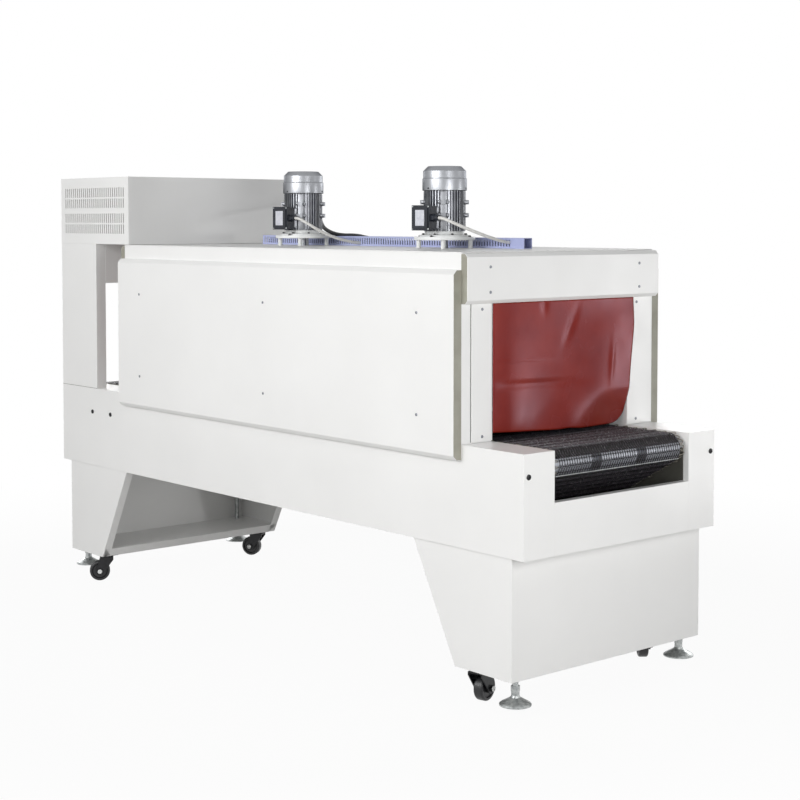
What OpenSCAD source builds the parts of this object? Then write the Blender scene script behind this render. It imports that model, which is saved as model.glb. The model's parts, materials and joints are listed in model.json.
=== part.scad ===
// Heat shrink tunnel for a packaging line.
// A mesh belt runs in a bed on two tapered legs. An insulated tunnel with heat shields, curtains
// and two blower motors stands on the bed, behind a portal that carries the control box.
// Origin on the floor under the middle of the bed, +X towards the exit, -Y towards the front.

/* [Conveyor bed] */
// Length of the bed
bed_len = 2500; // [2250:10:2800]
// Width of the bed
bed_w = 800; // [740:5:900]
// Height of the bed's sides
bed_h = 290; // [250:5:330]
// Height of the bed's top above the floor
bed_top = 730; // [690:5:780]
// Width of each side box of the bed
side_w = 118; // [116:1:130]
// Height of the end aprons under the belt
apron_h = 147; // [120:1:160]
// Width of the folded lip on top of an apron
apron_lip = 25; // [15:1:40]
// Thickness of the sheet metal
sheet = 3; // [2:0.5:4]

/* [Belt] */
// Radius of the belt drums
drum_r = 38; // [30:1:42]
// Thickness of the mesh belt
belt_t = 8; // [5:1:10]
// Gap between the belt's edge and the side boxes
belt_side_gap = 6; // [4:1:15]
// Distance from the bed's end to the belt's nose
belt_end_gap = 8; // [3:1:40]
// Distance from a drum's outer barrels to the belt's edges
barrel_inset = 12; // [5:1:25]
// Distance between a drum's barrels
barrel_gap = 42; // [20:1:50]
// Radius of the drum shafts
shaft_r = 12.5; // [8:0.5:15]
// Depth of a shaft's seat in a side box
shaft_seat = 20; // [10:1:40]
// Distance from a drum to where the slack strand reaches the trough's floor
slack_run = 380; // [340:5:500]
// Bend radius of the slack strand
slack_r = 200; // [120:5:200]

/* [Legs] */
// Distance from the bed's end to a leg's end wall
leg_inset = 50; // [20:1:60]
// Distance from the bed's end to a leg's inner edge at the bottom
leg_foot = 277; // [275:1:320]
// Distance from the bed's end to a leg's inner edge at the top
leg_head = 455; // [400:5:550]
// Distance from the bed's side to a leg's side
leg_side_inset = 5; // [0:1:10]
// Width of the folded flange on a leg's inner edge
flange_w = 27; // [15:1:35]
// Thickness of a leg's shelf
shelf_t = 30; // [20:1:40]

/* [Tunnel] */
// Distance from the bed's exit end to the tunnel
tunnel_setback = 247; // [200:1:280]
// Distance from the control portal to the tunnel
portal_gap = 206; // [150:1:260]
// Height of the tunnel above the bed
tunnel_h = 536; // [510:1:560]
// Height of the passage above the bed
mouth_h = 400; // [370:5:410]
// Thickness of the insulated side walls
wall_t = 116; // [100:1:116]
// Width of a post plate beside a mouth
post_w = 80; // [50:1:90]
// Thickness of a post plate
post_t = 4; // [2:0.5:6]
// Gap between a post plate and the bed
post_gap = 3; // [1:1:10]

/* [Heat shields and hoods] */
// Depth of a heat shield from the wall to its face
shield_d = 30; // [20:1:40]
// Height of a heat shield
shield_h = 530; // [480:5:540]
// Drop of a heat shield below the top of the bed
shield_drop = 43; // [20:1:60]
// Width of the bevels along a heat shield
shield_bevel = 13; // [6:1:18]
// Depth of a hood from the tunnel's end to its face
hood_d = 25; // [15:1:35]
// Height of a hood
hood_h = 141; // [110:1:145]
// Distance from the tunnel's top to a hood's top
hood_gap = 4; // [0:1:10]
// Width of the bevels along a hood
hood_bevel = 10; // [5:1:14]

/* [Curtains] */
// Thickness of a silicone curtain
curtain_t = 3; // [2:0.5:5]
// Gap between a curtain and the post plates behind it
curtain_gap = 1.5; // [1:0.5:4]
// Distance from a curtain's straight edge to the mouth's side
curtain_side_gap = 3; // [2:1:15]
// Overlap of a curtain's free edge over a post plate
curtain_overlap = 22; // [5:1:30]
// Gap between a curtain and the bed's top
curtain_floor_gap = 8; // [4:1:40]

/* [Control portal] */
// Length of the columns along the bed
column_len = 257; // [200:1:300]
// Thickness of a column across the bed
column_t = 40; // [30:1:60]
// Height of the archway above the bed
arch_h = 391; // [350:1:420]
// Length of the control box along the bed
box_len = 490; // [470:5:600]
// Height of the control box
box_h = 244; // [220:2:300]
// Rows of louvre slots
louvre_rows = 4; // [2:2:4]
// Louvre slots in a row
louvre_count = 29; // [10:1:29]
// Distance between louvre slots
louvre_pitch = 15; // [12:0.5:15]
// Width of a louvre slot
louvre_w = 6; // [4:0.5:8]
// Height of a louvre slot
louvre_h = 34; // [20:1:36]
// Gap between the two rows of a pair
louvre_gap = 6; // [4:1:12]
// Gap between the pairs of rows
louvre_pair_gap = 20; // [10:1:30]

/* [Motors] */
// Distance between the two motors
motor_span = 740; // [600:10:1000]
// Distance from the tunnel's middle to the middle between the motors
motor_shift = 12; // [-40:1:40]
// Radius of the mounting plate
plate_r = 97; // [94:1:104]
// Thickness of the mounting plate
plate_t = 10; // [6:1:14]
// Height of the standoffs under the mounting plate
standoff_h = 26; // [20:1:40]
// Radius of a standoff
standoff_r = 7.5; // [5:0.5:10]
// Radius of the ring of standoffs
standoff_ring = 82; // [76:1:84]
// Radius of the motor shaft
motor_shaft_r = 9.5; // [7:0.5:12]
// Height of the lower end shield
bell_h = 18; // [12:1:26]
// Radius of the casing between its fins
casing_r = 57; // [52:0.5:60]
// Height of the casing
casing_h = 127; // [115:1:150]
// Depth of a cooling fin
fin_d = 9; // [5:0.5:10]
// Thickness of a cooling fin
fin_t = 2.6; // [2:0.1:3.2]
// Cooling fins round the casing
fin_count = 40; // [24:8:40]
// Radius of the fan cowl
cowl_r = 70.5; // [69:0.5:74]
// Height of the fan cowl
cowl_h = 77; // [65:1:90]
// Height of the bevel round the cowl's top
cowl_bevel = 15; // [8:1:18]
// Width of the terminal box
terminal_w = 83; // [78:1:86]
// Depth of the terminal box
terminal_d = 38; // [34:1:42]
// Height of the terminal box
terminal_h = 79; // [70:1:90]
// Length of the cable gland
gland_len = 27.5; // [26.5:0.5:28.5]

/* [Wiring] */
// Width of the wiring duct
duct_w = 35; // [30:1:45]
// Height of the wiring duct
duct_h = 33; // [30:1:40]
// Distance from the control box to the wiring duct
duct_start = 120; // [60:5:160]
// Distance from the exit motor's axis to the wiring duct's end
duct_past = 250; // [200:5:300]
// Distance between the duct's slots
duct_pitch = 12.5; // [10:0.5:20]
// Width of a duct slot
duct_slot = 5; // [3:0.5:6]

/* [Castors] */
// Distance from the bed's end to a castor's swivel axis
castor_x = 225; // [215:1:226]
// Distance from the bed's side to a castor's swivel axis
castor_y = 52; // [50:1:70]
// Overall height of a castor
castor_h = 100; // [99:1:106]
// Radius of a castor wheel
wheel_r = 37.5; // [36:0.5:40]
// Width of a castor wheel's tread
tread_w = 30; // [24:1:34]
// Distance from the swivel axis to the wheel's axle
trail = 25; // [20:1:28]
// Radius of the wheel's axle
axle_r = 6; // [5:0.5:7]
// Thickness of a fork's cheeks
cheek_t = 4; // [3:0.5:5]

/* [Levelling feet] */
// Distance from the bed's end to a foot
foot_x = 85; // [80:1:95]
// Distance from the bed's side to a foot
foot_y = 55; // [50:1:70]
// Radius of a foot's pad
pad_r = 45; // [35:1:48]
// Height of a foot's bell
pad_h = 27; // [24:1:28]
// Height of the neck on a foot's bell
neck_h = 12; // [8:1:13]
// Radius of a foot's threaded rod
rod_r = 8; // [6:0.5:10]
// Height of the exit end's front foot above the floor
front_lift = 24; // [15:1:40]
// Height of the other feet above the floor
park_lift = 40; // [15:1:42]

/* [Hidden] */
$fn = 64;

// Finishes
cream = "#ece9e2";
steel = "#b9bcbf";
dark_steel = "#3c3d40";
silicone_red = "#a8382c";
cast_aluminium = "#b4b6ba";
black_plastic = "#26272a";
duct_blue = "#9aa3d8";
lead_grey = "#c9c8c2";

// Clearances
eps = 1;
belt_fit = 0.2;
run_fit = 0.05;
seat_gap = 0.3;
rod_fit = 0.3;

// Bed and belt
x_out = bed_len / 2;
x_in = -x_out;
y_front = -bed_w / 2;
bed_z0 = bed_top - bed_h;
trough_y = bed_w / 2 - side_w;
belt_r = drum_r + belt_fit + belt_t;
drum_z = bed_top - belt_r;
drum_x = x_out - belt_end_gap - belt_r;
belt_w = 2 * (trough_y - belt_side_gap);
barrel_len = (belt_w - 2 * barrel_inset - 2 * barrel_gap) / 3;
slack_x = drum_x - slack_run;
slack_z = bed_z0 + sheet + seat_gap + slack_r;

// Legs, measured from the bed's end
leg_z0 = castor_h;
leg_slope = (leg_head - leg_foot) / (bed_z0 - leg_z0);
leg_y = bed_w / 2 - leg_side_inset - sheet;
flange_run = sheet * sqrt(1 + leg_slope * leg_slope);
shelf_z1 = leg_z0 + shelf_t;

// Tunnel
tunnel_x1 = x_out - tunnel_setback;
tunnel_x0 = x_in + column_len + portal_gap;
tunnel_len = tunnel_x1 - tunnel_x0;
tunnel_top = bed_top + tunnel_h;
roof_z0 = bed_top + mouth_h;
mouth_y = bed_w / 2 - wall_t;
hood_z0 = tunnel_top - hood_gap - hood_h;

// Control portal
arch_z = bed_top + arch_h;
box_gap = 1;
box_z0 = tunnel_top + box_gap;
box_face = x_in + box_len;
box_z1 = box_z0 + box_h;
louvre_pairs = louvre_rows / 2;
louvre_field = louvre_rows * louvre_h + louvre_gap * louvre_pairs + louvre_pair_gap * (louvre_pairs - 1);

// Motors
motor_x = (tunnel_x0 + tunnel_x1) / 2 + motor_shift;
plate_z0 = tunnel_top + standoff_h;
casing_z0 = plate_z0 + plate_t;
fins_z0 = casing_z0 + bell_h;
cowl_z0 = fins_z0 + casing_h;
fin_r = casing_r + fin_d;
fin_root = 2;
bell_inset = 4;
pad_proud = 1;
pad_y = fin_r + pad_proud;
pad_side = 5;
pad_end = 7;
terminal_rise = 20;
terminal_z0 = casing_z0 + terminal_rise;
lid_t = 14;
lid_rim = 3;
gland_z = terminal_z0 + terminal_h / 2;
gland_y = pad_y + terminal_d / 2;
gland_r = 9;
gland_wall = 3;
gland_nut = 7;
lug_low = 43;
lug_high = 84;
lug_d = 11;
lug_w = 15;
lug_h = 14;
cowl_step = 2.5;
cowl_slots = 12;
cowl_slot_r = 16;
cowl_slot_len = 26;
cowl_slot_w = 4;
cowl_slot_d = 5;

// Wiring
duct_clear = 8;
duct_y0 = plate_r + duct_clear;
duct_x0 = box_face + duct_start;
duct_x1 = motor_x + motor_span / 2 + duct_past;
duct_len = duct_x1 - duct_x0;
duct_wall = 2;
duct_rim = 6;
duct_plain = 60;
lead_r = 5;
conduit_r = 7;
// Lead of a motor, from its gland to the wiring duct, measured from the motor's axis and the roof
lead_route = [
  [69, -86, 95.5], [82, -85.5, 94.5], [96, -83, 91], [110, -77, 85], [123, -67, 78], [135, -53, 70],
  [146, -34, 61], [156, -13, 52], [165, 10, 43], [173, 33, 35], [180, 56, 28], [184, 78, 22.5],
  [185, 92, 20], [185, 105, 19]
];
// Conduit from the control box into the wiring duct, measured from the box's face and the roof
conduit_route = [
  [28, 330, 150], [60, 330, 149.6], [95, 327.5, 147.5], [135, 319, 143], [180, 302, 137],
  [230, 276, 128.5], [280, 245, 118], [330, 210, 106], [375, 179, 94], [420, 151, 81], [462, 131.5, 68],
  [505, 124, 54], [548, 122.5, 43], [590, 122.5, 36.5], [630, 122.5, 33.5], [670, 122.5, 31.5],
  [705, 122.5, 28.7], [742, 122.5, 24.3], [780, 122.5, 19], [820, 122.5, 14], [860, 122.5, 10.5],
  [900, 122.5, 9.2]
];
// Start and length of the gap in the duct's cover where the conduit goes in
entry_x = 535;
entry_len = 255;

// Castors
plate_h = 5;
race_h = 5;
race_r = 25;
crown_h = 4;
crown_z = castor_h - plate_h - race_h - seat_gap - crown_h;
king_r = 6;
king_head_r = 9;
king_head_h = 3;
castor_plate_len = 70;
castor_plate_w = 60;
cheek_drop = 6;
cheek_gap = 5;
cheek_y = tread_w / 2 + cheek_gap;
boss_r = 15;
hub_r = 14;
nut_r = 10;
nut_h = 7;
tread_round = 6;
rim_out = 9;
rim_in = 12;
wheel_dish = 4;

// Levelling feet
neck_r = 11.5;
pad_rim_h = 7;
pad_rim_w = 4;
pad_flare_w = 3;
pad_flare_h = 5;
locknut_r = 13.2;
locknut_h = 15;

// Signs of a corner along X and Y, the direction in which its wheel trails, and its foot's lift
infeed_front = [-1, -1, 240, park_lift];
infeed_rear = [-1, 1, 214, park_lift];
exit_front = [1, -1, 104, front_lift];
exit_rear = [1, 1, 140, park_lift];
corners = [infeed_front, infeed_rear, exit_front, exit_rear];

// Box between two opposite corners
module block(low, high) {
  translate(low) cube(high - low);
}

// Outline with two bevelled edges, inset by t: depth along x, height along y
function tray_outline(d, h, b, t) = let (k = t * tan(22.5)) [
  [t > 0 ? -eps : 0, t], [d - b - k, t], [d - t, b + k], [d - t, h - b - k], [d - b - k, h - t],
  [t > 0 ? -eps : 0, h - t]
];

// Folded tray, open at the back, lying along +X with its face towards +Y
module tray(len, d, h, b) {
  difference() {
    rotate([90, 0, 90]) linear_extrude(len) polygon(tray_outline(d, h, b, 0));
    translate([sheet, 0, 0]) rotate([90, 0, 90])
      linear_extrude(len - 2 * sheet) polygon(tray_outline(d, h, b, sheet));
  }
}

// Unit tangents along a route, and rings of a round tube round its points
function unit(v) = v / norm(v);
function tangents(p) = let (n = len(p)) [
  for (i = [0 : n - 1]) unit(p[min(i + 1, n - 1)] - p[max(i - 1, 0)])
];
function ring(c, t, r, sides) = let (u = unit(cross(t, [0, 0, 1])), v = cross(u, t)) [
  for (k = [0 : sides - 1]) c + r * (cos(360 * k / sides) * u + sin(360 * k / sides) * v)
];

// Round tube swept along a route, with flat ends along the directions first and last
module cord(route, r, first, last, sides = 10) {
  n = len(route);
  mid = tangents(route);
  dirs = [for (i = [0 : n - 1]) i == 0 ? first : i == n - 1 ? last : mid[i]];
  points = [for (i = [0 : n - 1]) each ring(route[i], dirs[i], r, sides)];
  walls = [
    for (i = [0 : n - 2], k = [0 : sides - 1])
      let (a = i * sides + k, b = i * sides + (k + 1) % sides) each [
        [a, b, b + sides],
        [a, b + sides, a + sides]
      ]
  ];
  start = [for (k = [0 : sides - 1]) sides - 1 - k];
  end = [for (k = [0 : sides - 1]) (n - 1) * sides + k];
  polyhedron(points, concat([start], walls, [end]));
}

// Closed side box of the bed, with the seats of the drum shafts
module bed_side() {
  color(cream) difference() {
    block([x_in, y_front, bed_z0], [x_out, -trough_y, bed_top]);
    for (s = [-1, 1])
      translate([s * drum_x, -trough_y - shaft_seat, drum_z]) rotate([-90, 0, 0])
        cylinder(r = shaft_r + run_fit, h = shaft_seat + eps);
  }
}

module bed_front_side() { bed_side(); }
module bed_rear_side() { mirror([0, 1, 0]) bed_side(); }

// Floor of the trough with an upturned apron and lip at each end
module bed_pan() {
  color(cream) {
    block([x_in, -trough_y, bed_z0], [x_out, trough_y, bed_z0 + sheet]);
    for (s = [0, 1]) mirror([s, 0, 0]) {
      block([x_out - sheet, -trough_y, bed_z0], [x_out, trough_y, bed_z0 + apron_h]);
      block([x_out - apron_lip, -trough_y, bed_z0 + apron_h - sheet],
            [x_out, trough_y, bed_z0 + apron_h]);
    }
  }
}

// Points on a circle round c from angle a0 to a1, in n steps
function arc(c, r, a0, a1, n) = [
  for (i = [0 : n]) let (a = a0 + (a1 - a0) * i / n) c + r * [cos(a), sin(a)]
];

// Outline of the belt, inset by t: tight over the two drums, with a slack strand that hangs from
// them in straight ramps and lies on the trough's floor
module belt_outline(t) {
  drum = [drum_x, drum_z];
  bend = [slack_x, slack_z];
  run = bend - drum;
  lean = atan2(-run[1], -run[0]) + acos((belt_r - slack_r) / norm(run)) - 180;
  half = concat(arc(drum, belt_r - t, 90, lean, 30), arc(bend, slack_r - t, lean, -90, 8));
  n = len(half);
  polygon(concat(half, [for (i = [1 : n]) [-half[n - i][0], half[n - i][1]]]));
}

module conveyor_belt() {
  color(dark_steel) rotate([90, 0, 0]) linear_extrude(belt_w, center = true) difference() {
    belt_outline(0);
    belt_outline(belt_t);
  }
}

// Two drums, each of three barrels on a through shaft
module belt_drums() {
  color(steel) for (s = [-1, 1]) translate([s * drum_x, 0, drum_z]) rotate([90, 0, 0]) {
    for (i = [-1 : 1]) translate([0, 0, i * (barrel_len + barrel_gap)])
      cylinder(r = drum_r, h = barrel_len, center = true);
    cylinder(r = shaft_r, h = 2 * (trough_y + shaft_seat - seat_gap), center = true);
  }
}

// Position of a leg's slanted inner edge at a height
function leg_edge(z) = leg_foot + leg_slope * (z - leg_z0);

// Upright sheet across the bed from an outline in X and Z, w wide from y
module upright(outline, y, w) {
  translate([x_in, y + w, 0]) rotate([90, 0, 0]) linear_extrude(w) polygon(outline);
}

module leg_flange() {
  upright([
    [leg_foot - flange_run, leg_z0], [leg_foot, leg_z0],
    [leg_head, bed_z0], [leg_head - flange_run, bed_z0]
  ], -leg_y, flange_w);
}

// Front sheet of the infeed leg, with its flange folded inwards
module leg_front() {
  color(cream) {
    upright([
      [leg_inset, leg_z0], [leg_foot, leg_z0], [leg_head, bed_z0], [leg_inset, bed_z0]
    ], -leg_y - sheet, sheet);
    leg_flange();
  }
}

module leg_end() {
  color(cream) block([x_in + leg_inset, -leg_y, leg_z0], [x_in + leg_inset + sheet, leg_y, bed_z0]);
}

// Shelf between the leg's sheets, notched for the flanges and drilled for the foot rods
module leg_shelf() {
  color(cream) difference() {
    upright([
      [leg_inset + sheet, leg_z0], [leg_foot, leg_z0],
      [leg_edge(shelf_z1), shelf_z1], [leg_inset + sheet, shelf_z1]
    ], -leg_y, 2 * leg_y);
    for (s = [0, 1]) mirror([0, s, 0]) {
      leg_flange();
      translate([x_in + foot_x, y_front + foot_y, leg_z0 - eps])
        cylinder(r = rod_r + rod_fit, h = shelf_t + 2 * eps);
    }
  }
}

module infeed_leg_front() { leg_front(); }
module infeed_leg_rear() { mirror([0, 1, 0]) leg_front(); }
module infeed_leg_end() { leg_end(); }
module infeed_leg_shelf() { leg_shelf(); }
module exit_leg_front() { mirror([1, 0, 0]) leg_front(); }
module exit_leg_rear() { mirror([1, 0, 0]) mirror([0, 1, 0]) leg_front(); }
module exit_leg_end() { mirror([1, 0, 0]) leg_end(); }
module exit_leg_shelf() { mirror([1, 0, 0]) leg_shelf(); }

module tunnel_front_wall() {
  color(cream) block([tunnel_x0, y_front, bed_top], [tunnel_x1, -mouth_y, tunnel_top - sheet]);
}

module tunnel_rear_wall() { mirror([0, 1, 0]) tunnel_front_wall(); }

// Insulated roof between the walls, under a sheet that lies over them
module tunnel_roof() {
  color(cream) {
    block([tunnel_x0, -mouth_y, roof_z0], [tunnel_x1, mouth_y, tunnel_top]);
    block([tunnel_x0, y_front, tunnel_top - sheet], [tunnel_x1, -y_front, tunnel_top]);
  }
}

module rear_heat_shield() {
  color(cream) translate([tunnel_x0, -y_front, bed_top - shield_drop])
    tray(tunnel_len, shield_d, shield_h, shield_bevel);
}

module front_heat_shield() { mirror([0, 1, 0]) rear_heat_shield(); }

module exit_hood() {
  color(cream) translate([tunnel_x1, bed_w / 2, hood_z0]) rotate([0, 0, -90])
    tray(bed_w, hood_d, hood_h, hood_bevel);
}

module infeed_hood() {
  color(cream) translate([tunnel_x0, y_front, hood_z0]) rotate([0, 0, 90])
    tray(bed_w, hood_d, hood_h, hood_bevel);
}

// Pair of post plates on the tunnel's end, from x outwards by post_t
module posts(x) {
  color(cream) for (s = [0, 1]) mirror([0, s, 0])
    block([x, -mouth_y - post_w, bed_top + post_gap], [x + post_t, -mouth_y, hood_z0]);
}

module exit_posts() { posts(tunnel_x1); }
module infeed_posts() { posts(tunnel_x0 - post_t); }

// Curtain that hangs from a hood's underside, before the post plates of a tunnel end at X 0
module curtain() {
  x = post_t + curtain_gap;
  color(silicone_red)
    block([x, -mouth_y + curtain_side_gap, bed_top + curtain_floor_gap],
          [x + curtain_t, mouth_y + curtain_overlap, hood_z0]);
}

module exit_curtain() { translate([tunnel_x1, 0, 0]) curtain(); }
module infeed_curtain() { translate([tunnel_x0, 0, 0]) rotate(180) curtain(); }

module portal_front_column() {
  color(cream) block([x_in, y_front, bed_top], [x_in + column_len, y_front + column_t, box_z0]);
}

module portal_rear_column() { mirror([0, 1, 0]) portal_front_column(); }

module portal_lintel() {
  color(cream) block([x_in, y_front + column_t, arch_z], [x_in + column_len, -y_front - column_t, box_z0]);
}

// Shell of the control box, closed at the front and rear by the louvred panels, with a cable gland
module control_box() {
  start = conduit_route[0];
  color(cream) difference() {
    block([x_in, y_front + sheet, box_z0], [box_face, -y_front - sheet, box_z1]);
    block([x_in + sheet, y_front, box_z0 + sheet], [box_face - sheet, -y_front, box_z1 - sheet]);
  }
  color(black_plastic) translate([box_face, start[1], tunnel_top + start[2]]) rotate([0, 90, 0]) {
    cylinder(r = conduit_r + gland_nut, h = start[0] / 2, $fn = 6);
    cylinder(r = conduit_r + gland_wall, h = start[0]);
  }
}

// Sheet with pairs of rows of upright slots
module louvre_panel_front() {
  color(cream) translate([x_in, y_front + sheet, box_z0]) rotate([90, 0, 0]) linear_extrude(sheet)
    difference() {
      square([box_len, box_h]);
      for (row = [0 : louvre_rows - 1], i = [0 : louvre_count - 1])
        translate([
          box_len / 2 + (i - (louvre_count - 1) / 2) * louvre_pitch - louvre_w / 2,
          (box_h - louvre_field) / 2 + row * louvre_h + floor((row + 1) / 2) * louvre_gap
            + floor(row / 2) * louvre_pair_gap
        ]) square([louvre_w, louvre_h]);
    }
}

module louvre_panel_rear() { mirror([0, 1, 0]) louvre_panel_front(); }

// Places a motor's pieces on the roof: side -1 towards the infeed, 1 towards the exit
module on_motor(side) {
  translate([motor_x + side * motor_span / 2, 0, 0]) children();
}

// Round mounting plate on four standoffs
module motor_plate() {
  color(steel) {
    difference() {
      translate([0, 0, plate_z0]) cylinder(r = plate_r, h = plate_t);
      translate([0, 0, plate_z0 - eps]) cylinder(r = motor_shaft_r + seat_gap, h = plate_t + 2 * eps);
    }
    for (a = [45 : 90 : 315]) rotate(a) translate([standoff_ring, 0, tunnel_top])
      cylinder(r = standoff_r, h = standoff_h);
  }
}

// Finned casing with its lower end shield, shaft, terminal pad and mounting lugs
module motor_casing() {
  pad_w = terminal_w - 2 * pad_side;
  color(cast_aluminium) {
    translate([0, 0, tunnel_top]) cylinder(r = motor_shaft_r, h = casing_z0 - tunnel_top + eps);
    translate([0, 0, casing_z0]) cylinder(r = fin_r - bell_inset, h = bell_h);
    translate([0, 0, fins_z0]) linear_extrude(casing_h) {
      circle(r = casing_r);
      for (i = [0 : fin_count - 1]) rotate((i + 0.5) * 360 / fin_count)
        translate([casing_r - fin_root, -fin_t / 2]) square([fin_d + fin_root, fin_t]);
    }
    for (a = [45 : 90 : 315], h = [lug_low, lug_high]) rotate(a)
      translate([casing_r, -lug_w / 2, fins_z0 + h]) cube([fin_d + lug_d, lug_w, lug_h]);
    translate([-pad_w / 2, -pad_y, terminal_z0 + pad_end]) cube([pad_w, pad_y, terminal_h - 2 * pad_end]);
  }
}

// Fan cowl with a stepped skirt, a bevelled top and a ring of air slots
module motor_cowl() {
  color(cast_aluminium) translate([0, 0, cowl_z0]) difference() {
    rotate_extrude() polygon([
      [0, 0], [cowl_r, 0], [cowl_r, cowl_h / 2], [cowl_r - cowl_step, cowl_h / 2],
      [cowl_r - cowl_step, cowl_h - cowl_bevel], [cowl_r - cowl_step - cowl_bevel, cowl_h], [0, cowl_h]
    ]);
    for (i = [0 : cowl_slots - 1]) rotate(i * 360 / cowl_slots)
      translate([cowl_slot_r, -cowl_slot_w / 2, cowl_h - cowl_slot_d])
        cube([cowl_slot_len, cowl_slot_w, cowl_slot_d + eps]);
  }
}

// Terminal box on the casing's pad, with a stepped lid and a cable gland
module motor_terminal_box() {
  x1 = terminal_w / 2;
  z1 = terminal_z0 + terminal_h;
  lid_y = -pad_y - terminal_d;
  color(black_plastic) {
    block([-x1 + lid_rim, lid_y + lid_t, terminal_z0 + lid_rim], [x1 - lid_rim, -pad_y, z1 - lid_rim]);
    block([-x1, lid_y + lid_rim, terminal_z0], [x1, lid_y + lid_t, z1]);
    block([-x1 + 2 * lid_rim, lid_y, terminal_z0 + 2 * lid_rim],
          [x1 - 2 * lid_rim, lid_y + lid_rim, z1 - 2 * lid_rim]);
    translate([x1 - lid_rim, -gland_y, gland_z]) rotate([0, 90, 0]) {
      cylinder(r = gland_r + gland_wall, h = gland_len / 2 + lid_rim, $fn = 6);
      cylinder(r = gland_r, h = gland_len + lid_rim);
    }
  }
}

module motor_1_plate() { on_motor(-1) motor_plate(); }
module motor_1_casing() { on_motor(-1) motor_casing(); }
module motor_1_cowl() { on_motor(-1) motor_cowl(); }
module motor_1_terminal_box() { on_motor(-1) motor_terminal_box(); }
module motor_2_plate() { on_motor(1) motor_plate(); }
module motor_2_casing() { on_motor(1) motor_casing(); }
module motor_2_cowl() { on_motor(1) motor_cowl(); }
module motor_2_terminal_box() { on_motor(1) motor_terminal_box(); }

module motor_lead() {
  color(lead_grey) translate([0, 0, tunnel_top]) cord(lead_route, lead_r, [1, 0, 0], [0, 1, 0]);
}

module motor_1_lead() { on_motor(-1) motor_lead(); }
module motor_2_lead() { on_motor(1) motor_lead(); }

// Channel with slotted sides, open ends and a gap in its cover for the conduit
module wiring_duct() {
  slots = floor((duct_len - duct_plain) / duct_pitch);
  color(duct_blue) translate([duct_x0, duct_y0, tunnel_top]) difference() {
    cube([duct_len, duct_w, duct_h]);
    translate([-eps, duct_wall, duct_wall])
      cube([duct_len + 2 * eps, duct_w - 2 * duct_wall, duct_h - 2 * duct_wall]);
    translate([box_face + entry_x - duct_x0, duct_wall, duct_h - duct_wall - eps])
      cube([entry_len, duct_w - 2 * duct_wall, duct_wall + 2 * eps]);
    translate([0, duct_w + eps, 0]) rotate([90, 0, 0]) linear_extrude(duct_w + 2 * eps)
      for (i = [1 : slots])
        translate([i * duct_pitch, duct_rim]) square([duct_slot, duct_h - 2 * duct_rim]);
  }
}

module control_conduit() {
  color(black_plastic) translate([box_face, 0, tunnel_top])
    cord(conduit_route, conduit_r, [1, 0, 0], [1, 0, 0]);
}

// Places a corner's pieces at its swivel axis, with the wheel trailing along +X
module at_castor(corner) {
  translate([corner[0] * (x_out - castor_x), corner[1] * (bed_w / 2 - castor_y), 0])
    rotate(corner[2]) children();
}

// Top plates with raceways and kingpins
module castor_plates() {
  color(dark_steel) for (c = corners)
    translate([c[0] * (x_out - castor_x), c[1] * (bed_w / 2 - castor_y), 0]) {
      translate([-castor_plate_len / 2, -castor_plate_w / 2, castor_h - plate_h])
        cube([castor_plate_len, castor_plate_w, plate_h]);
      translate([0, 0, castor_h - plate_h - race_h]) cylinder(r = race_r, h = race_h);
      translate([0, 0, crown_z - seat_gap]) cylinder(r = king_r, h = castor_h - crown_z - plate_h);
      translate([0, 0, crown_z - seat_gap - king_head_h]) cylinder(r = king_head_r, h = king_head_h);
    }
}

// Point where a line from p touches a circle of radius r round c, on the side s
function tangent_point(p, c, r, s) =
  let (d = c - p, l = norm(d), a = s * acos(r / l), u = -d / l)
    c + r * [u[0] * cos(a) - u[1] * sin(a), u[0] * sin(a) + u[1] * cos(a)];

// Teardrop cheek from the crown down to the axle, x along the trail and y upwards
module cheek() {
  hub = [trail, wheel_r];
  top = crown_z + crown_h;
  back = [-race_r, crown_z - cheek_drop];
  front = [race_r, crown_z - cheek_drop];
  polygon([
    [-race_r, top], back, tangent_point(back, hub, boss_r, 1), hub,
    tangent_point(front, hub, boss_r, -1), front, [race_r, top]
  ]);
  translate(hub) circle(r = boss_r);
}

// Fork with its crown, two cheeks, axle and axle nuts
module fork() {
  color(dark_steel) {
    difference() {
      translate([-race_r, -cheek_y, crown_z]) cube([2 * race_r, 2 * cheek_y, crown_h]);
      translate([0, 0, crown_z - eps]) cylinder(r = king_r + run_fit, h = crown_h + 2 * eps);
    }
    for (s = [0, 1]) mirror([0, s, 0]) translate([0, cheek_y + cheek_t, 0]) rotate([90, 0, 0])
      linear_extrude(cheek_t) cheek();
    translate([trail, 0, wheel_r]) rotate([90, 0, 0]) {
      cylinder(r = axle_r, h = 2 * (cheek_y + cheek_t), center = true);
      for (s = [0, 1]) mirror([0, 0, s]) translate([0, 0, cheek_y + cheek_t])
        cylinder(r = nut_r, h = nut_h, $fn = 6);
    }
  }
}

// Wheel with a rounded tread, dished sides and a hub that runs on the axle
module wheel() {
  half = tread_w / 2;
  hub_y = cheek_y - seat_gap;
  web = half - wheel_dish;
  flat = half - tread_round;
  bore = axle_r + run_fit;
  color(black_plastic) translate([trail, 0, wheel_r]) rotate([90, 0, 0]) rotate_extrude() {
    polygon([
      [bore, -hub_y], [hub_r, -hub_y], [hub_r, -web], [wheel_r - rim_in, -web], [wheel_r - rim_out, -half],
      [wheel_r - tread_round, -half], [wheel_r, -flat], [wheel_r, flat], [wheel_r - tread_round, half],
      [wheel_r - rim_out, half], [wheel_r - rim_in, web], [hub_r, web], [hub_r, hub_y], [bore, hub_y]
    ]);
    for (s = [-1, 1]) translate([wheel_r - tread_round, s * flat]) circle(r = tread_round);
  }
}

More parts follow.
